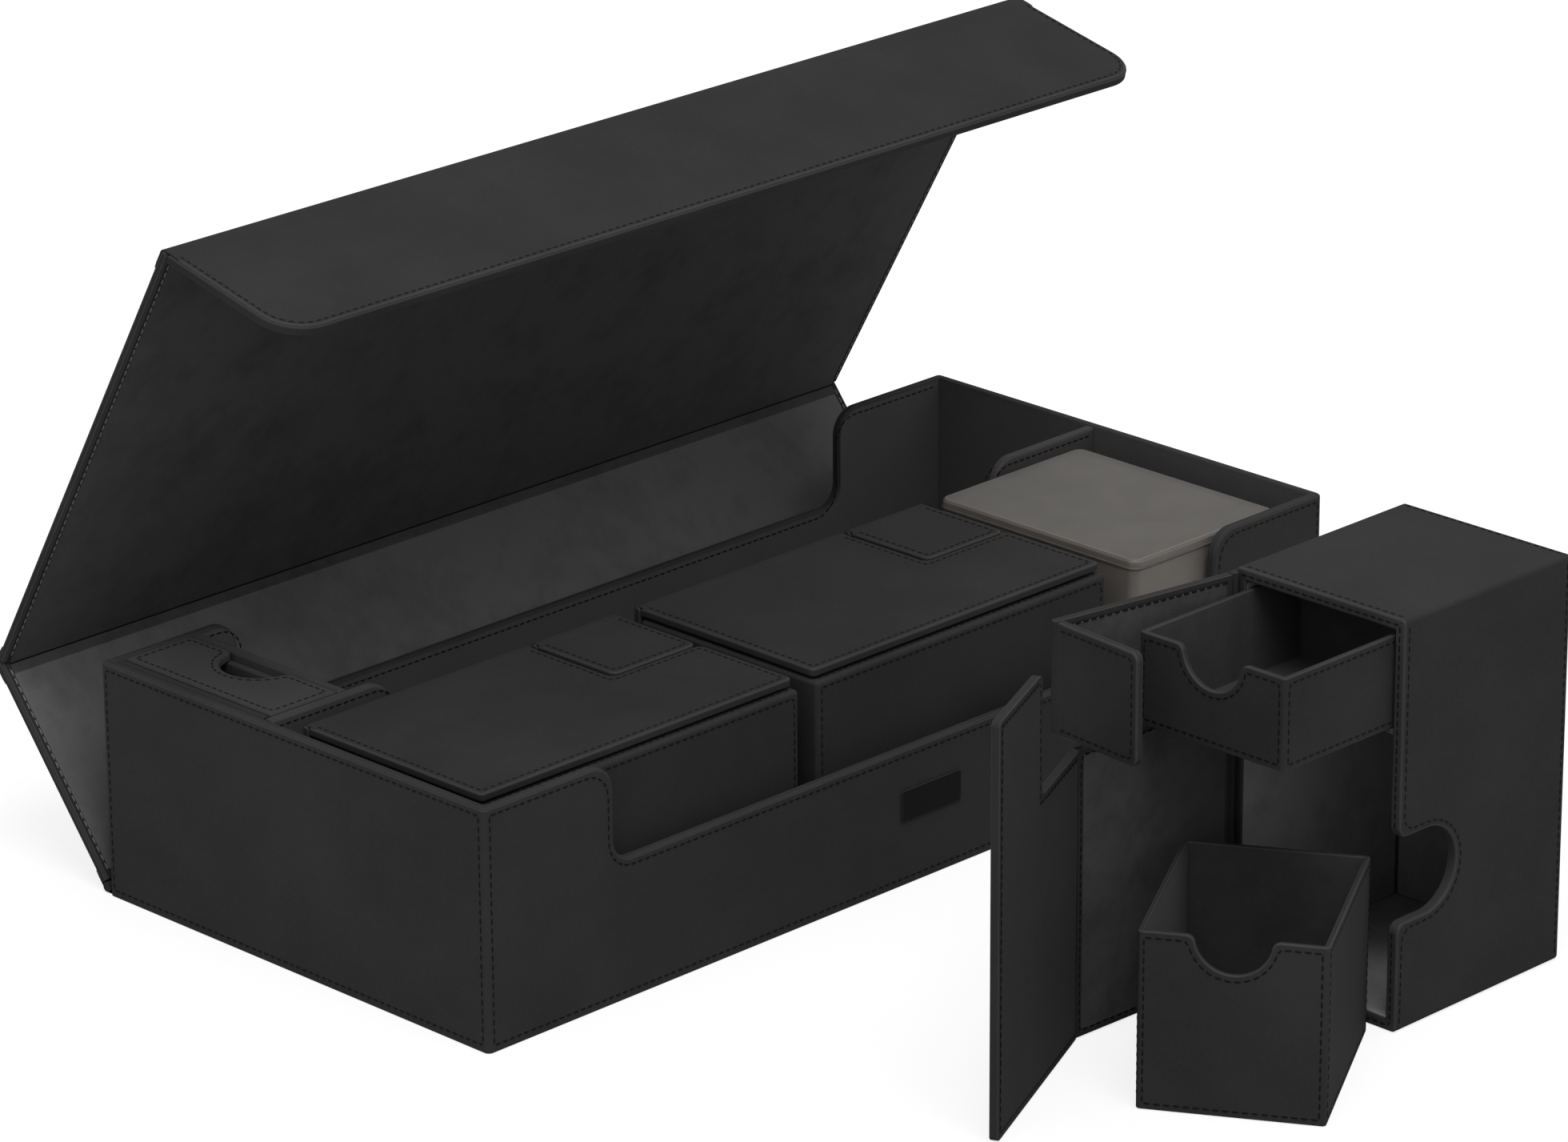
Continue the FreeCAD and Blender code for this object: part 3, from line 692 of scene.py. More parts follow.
@dataclass
class Sewing:
    """Collects the seams that ride on one body and makes one piece of them."""

    body: str
    finish: Finish = Finish.DARK_THREAD
    seam: Seam = field(default_factory=Seam)
    count: int = 0

    def __post_init__(self) -> None:
        """Start the mesh."""
        self.work = bmesh.new()

    def row(self, place: Matrix, path: list[Point], closed: bool = False) -> None:
        """Sew a row along a path on a flat surface.

        Args:
            place: local frame; the surface is its XY plane, its normal Z.
            path: corner points in millimetres.
            closed: whether the row comes back to its start.
        """
        points = [place @ Vector((x * MM, y * MM, 0)) for x, y in path]
        normal = (place.to_3x3() @ UP).normalized()
        self.count += self.seam.sew(self.work, points, normal, closed)

    def done(self, name: str) -> bpy.types.Object:
        """Make the piece and let it ride.

        Args:
            name: the piece's name.

        Returns:
            The new object.
        """
        piece = add_piece(name, smooth_mesh(name, self.work, angle=60), self.finish)
        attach(piece, self.body)
        LOG.info("%s: %d stitches", name, self.count)
        return piece


def arc(x: float, y: float, radius: float, start: float, stop: float,
        steps: int = 8) -> list[Point]:
    """Give points on an arc.

    Args:
        x: across coordinate of its centre, in millimetres.
        y: up coordinate of its centre, in millimetres.
        radius: its radius in millimetres.
        start: angle of its first point, in degrees.
        stop: angle of its last point, in degrees.
        steps: how many parts it has.

    Returns:
        The points in order.
    """
    turns = [math.radians(start + (stop - start) * k / steps) for k in range(steps + 1)]
    return [(x + radius * math.cos(t), y + radius * math.sin(t)) for t in turns]


def axes(origin: tuple[float, float, float], x: Vector, y: Vector) -> Matrix:
    """Give a frame from its origin and two of its directions.

    Args:
        origin: the origin in millimetres.
        x: direction of its first axis.
        y: direction of its second axis.

    Returns:
        The frame.
    """
    z = x.cross(y)
    made = Matrix((x, y, z)).transposed().to_4x4()
    made.translation = Vector(origin) * MM
    return made


def strip(name: str, path: Path, along: Vector, span: float, finish: Finish,
          thick: float = 0.34, sink: float = 0.12, rim: float = 0.35,
          steps: int = 1) -> bpy.types.Object:
    """Make a thin strip of leather that lies on a path.

    Args:
        name: the piece's name.
        path: points of the surface, in metres, each with its outward direction.
        along: direction of the fold.
        span: length of the strip along the fold, in metres.
        finish: its finish.
        thick: thickness in millimetres.
        sink: how far its underside lies in the surface, in millimetres.
        rim: share of the thickness at both ends of the path.
        steps: parts along the fold.

    Returns:
        The new object, which does not ride yet.
    """
    ring = []
    last = len(path) - 1
    for index, (point, out) in enumerate(path):
        taper = rim if index in (0, last) else 1.0
        ring.append(point + out * ((thick * taper - sink) * MM))
    for point, out in path[::-1]:
        ring.append(point - out * (sink * MM))
    work = bmesh.new()
    loops = [[work.verts.new(p + along * (span * k / steps - span / 2)) for p in ring]
             for k in range(steps + 1)]
    join_rings(work, loops)
    bmesh.ops.recalc_face_normals(work, faces=work.faces[:])
    return add_piece(name, smooth_mesh(name, work, angle=50), finish)


def panel_path(axis: Vector, along: Vector, out: Vector, radius: float,
               distances: list[float]) -> Path:
    """Give the part of a strip's path that lies on a panel.

    Args:
        axis: a point on the fold's axis, in metres.
        along: direction from the axis along the panel.
        out: outward direction of the panel's surface.
        radius: distance of that surface from the axis, in millimetres.
        distances: distance of each point from the axis along the panel.

    Returns:
        Points with their outward directions.
    """
    return [(axis + along * (far * MM) + out * (radius * MM), out) for far in distances]


def fold_path(axis: Vector, start: Vector, start_out: Vector, stop: Vector,
              stop_out: Vector, radius: float, reach: float, steps: int = 8) -> Path:
    """Give the path of a strip over a fold.

    Args:
        axis: a point on the fold's axis, in metres.
        start: direction from the axis down the first panel.
        start_out: outward direction of the first panel.
        stop: direction from the axis up the second panel.
        stop_out: outward direction of the second panel.
        radius: distance of the surface from the axis, in millimetres.
        reach: how far the strip runs on both panels, in millimetres.
        steps: parts of the bend.

    Returns:
        Points with their outward directions.
    """
    distances = [reach * part for part in (1, 0.66, 0.33)]
    path = panel_path(axis, start, start_out, radius, distances)
    for step in range(steps + 1):
        out = start_out.slerp(stop_out, step / steps)
        path.append((axis + out * (radius * MM), out))
    return path + panel_path(axis, stop, stop_out, radius, distances[::-1])


def crease_path(axis: Vector, start: Vector, start_out: Vector, stop: Vector,
                stop_out: Vector, radius: float, reach: float, ease: float = 1.2,
                steps: int = 6) -> Path:
    """Give the path of a strip along the inner side of a fold.

    Args:
        axis: a point on the fold's axis, in metres.
        start: direction from the axis down the first panel.
        start_out: direction from the first panel to its inner side.
        stop: direction from the axis up the second panel.
        stop_out: direction from the second panel to its inner side.
        radius: distance of the inner surfaces from the axis, in millimetres.
        reach: how far the strip runs on both panels, in millimetres.
        ease: length of the bend on each side of the corner, in millimetres.
        steps: parts of the bend.

    Returns:
        Points with their outward directions.
    """
    near = radius * math.tan(start_out.angle(stop_out) / 2)
    bend = near + ease
    distances = [reach, (reach + bend) / 2]
    path = panel_path(axis, start, start_out, radius, distances)
    first = panel_path(axis, start, start_out, radius, [bend])[0][0]
    corner = panel_path(axis, start, start_out, radius, [near])[0][0]
    last = panel_path(axis, stop, stop_out, radius, [bend])[0][0]
    for step in range(steps + 1):
        part = step / steps
        point = first.lerp(corner, part).lerp(corner.lerp(last, part), part)
        path.append((point, start_out.slerp(stop_out, part)))
    return path + panel_path(axis, stop, stop_out, radius, distances[::-1])


@dataclass
class LargeBox:
    """The big box: walls, floor, dividers, accessory bay and label.

    The low middle of a wall starts inset from the box's end and has its rim at low.
    """

    length: float = 412.0
    depth: float = 190.0
    height: float = 86.0
    wall: float = 4.0
    divider: float = 12.0
    inset: float = 58.0
    low: float = 50.0
    shoulder: float = 10.0
    hollow: float = 8.0
    notch: float = 54.7
    notch_radius: float = 14.0
    seam: float = 2.6
    clear_of_lid: float = 1.6
    slack: float = 0.1
    lip: float = 1.0

    def build(self) -> None:
        """Dress the solids and sew the seams.

        The faces of the walls that look into the box have a lighter finish, painted
        light against the shade inside the box.
        """
        reach = self.length / 2 - self.wall + self.slack
        deep = self.depth / 2 - self.wall + self.slack
        for side in ("front", "back", "left", "right"):
            eased_copy(f"box_{side}_wall", Finish.BOX_PAINTED_LIGHT, ease=0.9, body="box",
                       lining=Finish.WALL_PAINTED_LIGHT,
                       inside=lambda p: abs(p.x) < reach and abs(p.y) < deep
                       and p.z < self.height - self.lip)
        for node in ("long_divider", "short_divider"):
            eased_copy(node, Finish.INNER_PAINTED_LIGHT, ease=0.9, body="box")
        eased_copy("bay_ledge", Finish.INNER_PAINTED_LIGHT, ease=0.5, body="box")
        eased_copy("accessory_lid", Finish.INNER_PAINTED_LIGHT, ease=0.6, body="accessory_lid")
        eased_copy("box_floor", Finish.COVER, ease=0.5, body="box")
        eased_copy("floor_pad", Finish.FLOOR_SUEDE, ease=0.6, body="box")
        dress("bay_strip", Finish.COVER)
        dress("spine_strip", Finish.COVER)
        eased_copy("label_patch", Finish.PATCH, ease=0.15, body="box")
        self.sew()
        LOG.info("large box dressed")

    def rim(self, half: float, drop: float) -> list[Point]:
        """Give the outline of a low wall's rim, moved inside the board.

        Args:
            half: half the length of the wall.
            drop: how far below the rim the row runs.

        Returns:
            The points from left to right.
        """
        side = half - self.inset + drop
        shoulder, hollow = self.shoulder - drop * 0.3, self.hollow + drop
        top, low = self.height - drop, self.low - drop
        left = ([(-half + drop, top), (-side - shoulder, top)]
                + arc(-side - shoulder, top - shoulder, shoulder, 90, 0)
                + arc(-side + hollow, low + hollow, hollow, 180, 270))
        return left + [(-x, y) for x, y in left[::-1]]

    def sew(self) -> None:
        """Sew the rows along the rims and corners of the walls.

        The row outside the back wall runs lower, clear of the lid's closed fold.
        """
        rows = Sewing("box")
        half, deep, s = self.length / 2, self.depth / 2, self.seam
        top = self.height - s
        front = axes((0, -deep, 0), RIGHT, UP)
        rows.row(front, self.rim(half, s))
        for x in (-half + s, half - s):
            rows.row(front, [(x, s), (x, top)])
        rows.row(front, [(-half + s, s), (half - s, s)])
        rows.row(axes((0, deep, 0), -RIGHT, UP), self.rim(half, s + self.clear_of_lid))
        for y, turn in ((deep - self.wall, 1), (self.divider, 1),
                        (self.divider + self.wall, -1)):
            rows.row(axes((0, y, 0), RIGHT * turn, UP), self.rim(half - self.wall, s))
        for x, turn in ((-half, -1), (half, 1)):
            side = axes((x, 0, 0), BACK * turn, UP)
            rows.row(side, [(-deep + s, s), (deep - s, s), (deep - s, top),
                            (-deep + s, top)], closed=True)
        rows.done("box_seams")
        self.sew_bay()

    def sew_bay(self) -> None:
        """Sew the row round the accessory bay's lid and its finger notch."""
        bay = Sewing("accessory_lid")
        top = axes((0, 0, self.height), RIGHT, BACK)
        low, high = extent("accessory_lid")
        s, notch = self.seam, self.notch
        left, right, near, far = low.x + s, high.x - s, low.y + s, high.y - s
        reach = self.notch_radius + s
        span = math.sqrt(reach ** 2 - s ** 2)
        bend = math.degrees(math.asin(span / reach))
        bay.row(top, [(right, notch + span), (right, far), (left, far), (left, near),
                      (right, near), (right, notch - span)]
                + arc(right + s, notch, reach, 180 + bend, 180 - bend, steps=10))
        bay.done("accessory_lid_seams")


@dataclass
class FoldingLid:
    """The three panel lid: spine, top and flap with linings and folds.

    At hinge, the depth and height of the first fold, the spine starts.
    """

    width: float = 411.0
    thick: float = 3.6
    corner: float = 15.0
    lengths: tuple[float, float, float] = (86.0, 195.1, 62.8)
    leans: tuple[float, float, float] = (-38.5, 29.5, 103.2)
    hinge: tuple[float, float] = (97.1, 2.1)
    seam: float = 2.4
    foot: float = 5.0
    head: float = 3.0
    reach: float = 7.0
    crease_reach: float = 5.6
    grip: float = 2.0
    trim: float = 0.8
    crease_trim: float = 6.4

    def places(self) -> list[Matrix]:
        """Give the frame of each panel: X along the fold, Z up the panel, Y outward.

        Returns:
            The frames of spine, top and flap.
        """
        origin = Vector((0, *self.hinge)) * MM
        made = []
        for lean, length in zip(self.leans, self.lengths):
            turn = Matrix.Rotation(math.radians(lean), 4, "X")
            made.append(Matrix.Translation(origin) @ turn)
            origin = origin + turn.to_3x3() @ Vector((0, 0, length * MM))
        return made

    def build(self) -> None:
        """Dress the panels, sew their seams and lay leather over the folds.

        The lining runs through the two upper folds, as these stand open.
        """
        bodies = ("spine", "lid_top", "flap")
        for name, body in zip(("spine", "top", "flap"), bodies):
            eased_copy(f"{name}_panel", Finish.COVER, ease=0.5, body=body)
            lining = Finish.SPINE_SUEDE_PAINTED_LIGHT if name == "spine" else Finish.SUEDE
            eased_copy(f"{name}_lining", lining, ease=0.3, body=body, steps=2)
        for name in ("magnet_left", "magnet_right"):
            eased_copy(name, Finish.STEEL, ease=0.3, body="flap", steps=2)
        places = self.places()
        ground = Matrix.Translation(places[0].translation) @ Matrix.Rotation(
            math.radians(-90), 4, "X")
        self.fold("spine_hinge_leather", places[0], "box", "spine", ground)
        for index, body in enumerate(bodies):
            self.sew(places[index], self.lengths[index], body, index == 2)
        self.fold("top_fold_leather", places[1], "spine", "lid_top", places[0])
        self.fold("flap_fold_leather", places[2], "lid_top", "flap", places[1])
        self.crease("top_fold_suede", places[1], places[0])
        self.crease("flap_fold_suede", places[2], places[1])
        LOG.info("folding lid dressed")

    def sew(self, place: Matrix, length: float, body: str, free: bool) -> None:
        """Sew the rows round a panel, pale inside and dark outside.

        Args:
            place: frame of the panel.
            length: its length in millimetres.
            body: its body.
            free: whether its far edge is free and gets a row as well.
        """
        side, half = self.width / 2 - self.seam, self.thick / 2
        if free:
            bend = self.corner - self.seam
            turn, far = side - bend, length - self.seam - bend
            paths = [[(-side, self.foot), (-side, far)] + arc(-turn, far, bend, 180, 90)
                     + arc(turn, far, bend, 90, 0) + [(side, self.foot)]]
        else:
            paths = [[(x, self.foot), (x, length - self.head)] for x in (-side, side)]
        outer = Sewing(body)
        inner = Sewing(body, Finish.PALE_THREAD)
        out = place @ axes((0, half, 0), -RIGHT, UP)
        within = place @ axes((0, -half, 0), RIGHT, UP)
        for path in paths:
            outer.row(out, [(-x, y) for x, y in path])
            inner.row(within, path)
        outer.done(f"{body}_outer_seams")
        inner.done(f"{body}_inner_seams")

    def fold(self, name: str, place: Matrix, first: str, second: str,
             before: Matrix) -> None:
        """Lay a strip of leather round the outer side of a fold.

        Args:
            name: the piece's name.
            place: frame of the panel after the fold.
            first: body before the fold; not used.
            second: body after the fold; not used.
            before: frame of the panel before the fold.
        """
        old, new = before.to_3x3(), place.to_3x3()
        axis = place.translation
        path = fold_path(axis, old @ -UP, old @ BACK, new @ UP, new @ BACK,
                         self.thick / 2, self.reach)
        piece = strip(name, path, RIGHT, (self.width - self.trim) * MM, Finish.COVER,
                      steps=24)
        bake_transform(piece)
        LOG.info("%s laid", name)

    def crease(self, name: str, place: Matrix,
               before: Matrix) -> None:
        """Run the lining through the inner side of a fold, with a dark strip along its
        bottom as painted shade of the crease.

        Args:
            name: the piece's name.
            place: frame of the panel after the fold.
            before: frame of the panel before the fold.
        """
        old, new = before.to_3x3(), place.to_3x3()
        axis = place.translation
        path = crease_path(axis, old @ -UP, old @ -BACK, new @ UP, new @ -BACK,
                           self.thick / 2, self.crease_reach)
        bottom, span = path[4:7], (self.width - self.crease_trim) * MM
        piece = strip(name, path, RIGHT, span, Finish.SUEDE, thick=0.24, steps=24)
        # A dark strip along the bottom of the crease: painted shade.
        line = strip(f"{name}_line", bottom, RIGHT, span, Finish.DARK_THREAD,
                     thick=0.5, sink=0.04, steps=24)
        for laid in (piece, line):
            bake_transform(laid)
        LOG.info("%s laid", name)


@dataclass
class Tray:
    """An open tray or drawer with a finger notch in its front."""

    name: str
    body: str
    place: Matrix
    length: float
    width: float
    height: float
    notch: float
    wall: float = 2.0
    seam: float = 2.2
    slack: float = 0.1
    rim: float = 0.6
    past: float = 2.0

    def build(self) -> None:
        """Round the tray's edges and sew its seams.

        The inner faces, up to a little below the rim, have a lining's finish.
        """
        inverse = self.place.inverted()
        low = self.wall - self.slack

        def lined(point: Vector) -> bool:
            """Tell whether a point lies on an inner face.

            Args:
                point: the point in millimetres.

            Returns:
                Whether it does.
            """
            at = inverse @ (point * MM) / MM
            return (low < at.x < self.length - low and low < at.y < self.width - low
                    and low < at.z < self.height - self.rim)

        eased_copy(self.name, Finish.COVER, ease=0.55, body=self.body, angle=40,
                   inside=lined, lining=Finish.TRAY_SUEDE)
        self.sew()

    def sew(self) -> None:
        """Sew the rows round the four sides, and round the notch in the front."""
        rows = Sewing(self.body)
        s, w, n, top = self.seam, self.width, self.length, self.height - self.seam
        reach = self.notch + s
        span = math.sqrt(reach ** 2 - s ** 2)
        dip = math.degrees(math.acos(span / reach))
        middle, wide = w / 2, span + self.past
        front = self.place @ axes((0, w, 0), -BACK, UP)
        rows.row(front, [(s, s), (s, top), (middle - wide, top)]
                 + arc(middle, self.height, reach, 180 + dip, 360 - dip, steps=14)
                 + [(middle + wide, top), (w - s, top), (w - s, s)])
        rows.row(front, [(s, s), (w - s, s)])
        for origin, along, far in (((0, 0, 0), RIGHT, n), ((n, w, 0), -RIGHT, n),
                                   ((n, 0, 0), BACK, w)):
            rows.row(self.place @ axes(origin, along, UP),
                     [(s, s), (s, top), (far - s, top), (far - s, s)], closed=True)
        rows.done(self.name + "_seams")


@dataclass
class DeckCase:
    """One deck case: shell, doors, wrap and tab.

    The door stands between the heights foot and parting, the small door and the tab
    between tab_foot and head. The wrap goes from foot to parting near its fold and
    from foot to head between step and far, its distances from the fold.
    """

    name: str
    body: str
    place: Matrix
    angles: tuple[float, float, float, float]
    bodies: tuple[str, str, str, str]
    lined: bool = False
    reach: float = 85.0
    depth: float = 72.0
    height: float = 144.5
    leaf: float = 3.0
    board: float = 4.2
    wall: float = 4.0
    fold: float = 2.5
    seam: float = 2.4
    foot: float = 0.5
    parting: float = 102.0
    tab_foot: float = 104.5
    head: float = 143.5
    step: float = 41.0
    far: float = 85.3
    tab: float = 39.5
    tab_corner: float = 3.0
    slot: float = 53.5
    slot_radius: float = 15.0
    slot_centre: float = 14.2
    trim: float = 0.4
    grip: float = 1.6
    hinge_reach: float = 5.5
    fold_reach: float = 4.5

    @property
    def door_width(self) -> float:
        """Distance between the two folds of a door, in millimetres."""
        return self.depth - self.leaf / 2 + self.fold

    def leaf_frames(self) -> list[Matrix]:
        """Give the frames of the leaves, each with X away from its fold.

        Returns:
            The frames of door, wrap, small door and tab.
        """
        hinge = Vector((-self.fold, self.depth - self.leaf / 2, 0))
        frames = []
        for pair in (self.angles[:2], self.angles[2:]):
            first, second = (math.radians(a) for a in pair)
            end = hinge + Vector((math.cos(first), math.sin(first), 0)) * self.door_width
            for at, turn in ((hinge, first), (end, second)):
                frames.append(self.place @ Matrix.Translation(at * MM)
                              @ Matrix.Rotation(turn, 4, "Z"))
        return frames

    def build(self) -> None:
        """Dress the case's pieces and sew its seams.

        The inner faces of the shell have a light lining's finish, made lighter still as
        painted light against the shade inside the case, and the ends of its boards, at
        the opening and in the thumb slot, take the lighter finish of its edges, a
        painted highlight.
        """
        n = self.name
        inverse = self.place.inverted()
        room = (self.reach, self.depth, self.height)
        skin, mouth = 0.5, 1.0
        slot_deep, slot_low, slot_high = 31.0, 30.0, 75.0

        def lined(point: Vector) -> bool:
            """Tell whether a point lies on an inner face of the shell.

            Args:
                point: the point in millimetres.

            Returns:
                Whether it does.
            """
            at = inverse @ (point * MM) / MM
            return (at.x > mouth and at.y > self.wall and at.z > self.wall
                    and all(at[k] < room[k] - self.wall for k in range(3)))

        def board_end(point: Vector) -> bool:
            """Tell whether a point lies on the ends of the boards.

            Args:
                point: the point in millimetres.

            Returns:
                Whether it does.
            """
            at = inverse @ (point * MM) / MM
            return at.x < skin or (
                skin < at.y < self.board - skin and at.x < slot_deep
                and slot_low < at.z < slot_high)

        eased_copy(f"{n}_shell", Finish.COVER, ease=0.8, body=self.body, angle=40,
                   inside=lined, lining=Finish.ROOM_SUEDE_PAINTED_LIGHT, band=board_end)
        dress(f"{n}_shelf", Finish.PALE_SUEDE)
        dress(f"{n}_strip", Finish.COVER)
        for kind, body in zip(("door", "wrap", "small_door", "tab"), self.bodies):
            eased_copy(f"{n}_{kind}", Finish.COVER, ease=0.7, body=body)
            if self.lined and kind != "tab":
                # The wrap's lining is darkened as painted shade.
                nap = Finish.WRAP_SUEDE_PAINTED_SHADE if kind == "wrap" else Finish.PALE_SUEDE
                eased_copy(f"{n}_{kind}_lining", nap, ease=0.3, body=body, steps=2)
        if self.lined:
            eased_copy(f"{n}_lining", Finish.ROOM_SUEDE_PAINTED_LIGHT, ease=0.2, body=self.body,
                       steps=2)
        self.sew_shell()
        self.sew_leaves()
        self.cover_folds()
        LOG.info("%s dressed", n)

    def sew_shell(self) -> None:
        """Sew the rows along the opening, the thumb slot and the outer edges.

        A row that meets the thumb slot is cut off by bevel before the slot's edge.
        """
        rows = Sewing(self.body)
        s, h, deep, far = self.seam, self.height, self.depth, self.reach - self.seam
        front = self.place @ axes((0, 0, 0), RIGHT, UP)
        low, high, bevel = self.slot - self.slot_radius, self.slot + self.slot_radius, 3
        rows.row(front, [(s, s), (s, low - s - bevel), (s + bevel, low - s),
                         (self.slot_centre, low - s)]
                 + arc(self.slot_centre, self.slot, self.slot_radius + s, -90, 90,
                       steps=14)
                 + [(s + bevel, high + s), (s, high + s + bevel), (s, h - s)])
        rim = self.place @ axes((0, 0, 0), -BACK, UP)
        m = self.board / 2
        rows.row(rim, [(m - deep, m), (-m, m), (-m, low - bevel)])
        rows.row(rim, [(-m, high + bevel), (-m, h - m), (m - deep, h - m)])
        top = self.place @ axes((0, 0, h), RIGHT, BACK)
        for x in (s, far):
            rows.row(top, [(x, s), (x, deep - s)])
        side = self.place @ axes((0, deep, 0), -RIGHT, UP)
        rows.row(side, [(-far, s), (-far, h - s)])
        rows.row(front, [(far, s), (far, h - s)])
        back = self.place @ axes((self.reach, 0, 0), BACK, UP)
        rows.row(back, [(s, s), (s, h - s), (deep - s, h - s), (deep - s, s)],
                 closed=True)
        rows.done(f"{self.name}_shell_seams")

    def cover_folds(self) -> None:
        """Lay leather over the hinges of both doors and the folds beyond them."""
        door, wrap, small, tab = self.leaf_frames()
        low = (self.foot + self.trim, self.parting - self.trim)
        high = (self.tab_foot + self.trim, self.head - self.trim)
        self.cover_fold("door_hinge", self.place, door, low,
                        shell=True)
        self.cover_fold("small_door_hinge", self.place, small, high,
                        shell=True)
        self.cover_fold("wrap_fold", door, wrap, low)
        self.cover_fold("tab_fold", small, tab, high)

    def cover_fold(self, kind: str, before: Matrix, after: Matrix,
                   span: tuple[float, float],
                   shell: bool = False) -> None:
        """Lay a strip of leather round the outer side of one fold.

        Args:
            kind: the fold's name within the case.
            before: frame of the shell or leaf before the fold.
            after: frame of the leaf after the fold.
            span: low and high end of the strip, in millimetres.
            shell: whether the shell and not a leaf is before the fold.
        """
        low, high = span
        up, old, new = self.place.to_3x3() @ UP, before.to_3x3(), after.to_3x3()
        side, reach = (1, self.hinge_reach) if shell else (-1, self.fold_reach)
        back, out = old @ RIGHT * side, old @ BACK * side
        axis = after.translation + up * ((low + high) / 2 * MM)
        path = fold_path(axis, back, out, new @ RIGHT, new @ -BACK, self.leaf / 2, reach)
        piece = strip(f"{self.name}_{kind}_leather", path, up, (high - low) * MM,
                      Finish.COVER, thick=0.3, steps=12)
        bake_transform(piece)

    def sew_leaves(self) -> None:
        """Sew the rows round the doors, the wrap and the tab.

        The row of a leaf starts and ends a little beyond its fold.
        """
        s, half = self.seam, self.leaf / 2
        near, start, end = 3.5, 3.0, self.door_width - 1
        low, parting = s + self.foot, self.parting - s
        tab_low, high = self.tab_foot + s, self.head - s
        step, far = self.step + s, self.far - s
        door = [(near, low), (end, low), (end, parting), (near, parting)]
        wrap = [(start, low), (far, low), (far, high), (step, high), (step, parting),
                (start, parting)]
        small = [(near, tab_low), (end, tab_low), (end, high), (near, high)]
        bend = self.tab_corner - s
        turn = self.tab - s - bend
        tab = ([(start, tab_low)] + arc(turn, tab_low + bend, bend, -90, 0, steps=4)
               + arc(turn, high - bend, bend, 0, 90, steps=4) + [(start, high)])
        for kind, body, place, path in zip(
                ("door", "wrap", "small_door", "tab"), self.bodies, self.leaf_frames(),
                (door, wrap, small, tab)):
            rows = Sewing(body)
            outer = place @ axes((0, -half, 0), RIGHT, UP)
            rows.row(outer, path)
            inner = place @ axes((0, half, 0), -RIGHT, UP)
            rows.row(inner, [(-x, z) for x, z in path])
            rows.done(f"{self.name}_{kind}_seams")


@dataclass
class ClearBox:
    """The frosted box with its slip-over lid."""

    corner: float = 4.0
    bead: float = 0.55
    flat: float = 0.8
    below: float = 3.4
    above: float = 0.3
    skin: float = 0.5
    sides: int = 8
    steps: int = 6

    def build(self) -> None:
        """Give both halves their frosted finish and the lid its beads.

        The lid's sides take the base's lighter finish, painted light, and its top a
        darker one, painted shade.
        """
        low, high = extent("clear_lid")
        eased_copy("clear_base", Finish.FROSTED_PAINTED_LIGHT, ease=0.35, body="clear_box",
                   angle=40)
        eased_copy("clear_lid", Finish.FROSTED_PAINTED_SHADE, ease=0.35, body="clear_lid", angle=40,
                   band=lambda p: p.z < high.z - self.skin)
        self.ring("clear_lid_top_bead", low, high, high.z - self.below)
        self.ring("clear_lid_foot_bead", low, high, low.z + self.bead + self.above)
        LOG.info("clear box dressed")

    def ring(self, name: str, low: Vector, high: Vector, level: float) -> None:
        """Run a bead round the outside of the lid.

        Args:
            name: the piece's name.
            low: low corner of the lid, in millimetres.
            high: high corner of the lid, in millimetres.
            level: height of the bead, in millimetres.
        """
        c = self.corner
        path: Path = []
        for x, y, turn in ((high.x - c, high.y - c, 0), (low.x + c, high.y - c, 90),
                           (low.x + c, low.y + c, 180), (high.x - c, low.y + c, 270)):
            for step in range(self.steps + 1):
                at = math.radians(turn + 90 * step / self.steps)
                out = Vector((math.cos(at), math.sin(at), 0))
                path.append((Vector((x, y, level)) + out * c, out))
        work = bmesh.new()
        turns = [2 * math.pi * k / self.sides for k in range(self.sides)]
        rings = [[work.verts.new((
            point + out * (self.bead * self.flat * math.cos(t))
            + UP * (self.bead * math.sin(t))) * MM) for t in turns]
            for point, out in path]
        join_rings(work, rings, closed=True)
        bmesh.ops.recalc_face_normals(work, faces=work.faces[:])
        mesh = smooth_mesh(name, work, angle=70)
        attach(add_piece(name, mesh, Finish.FROSTED_PAINTED_SHADE), "clear_lid")


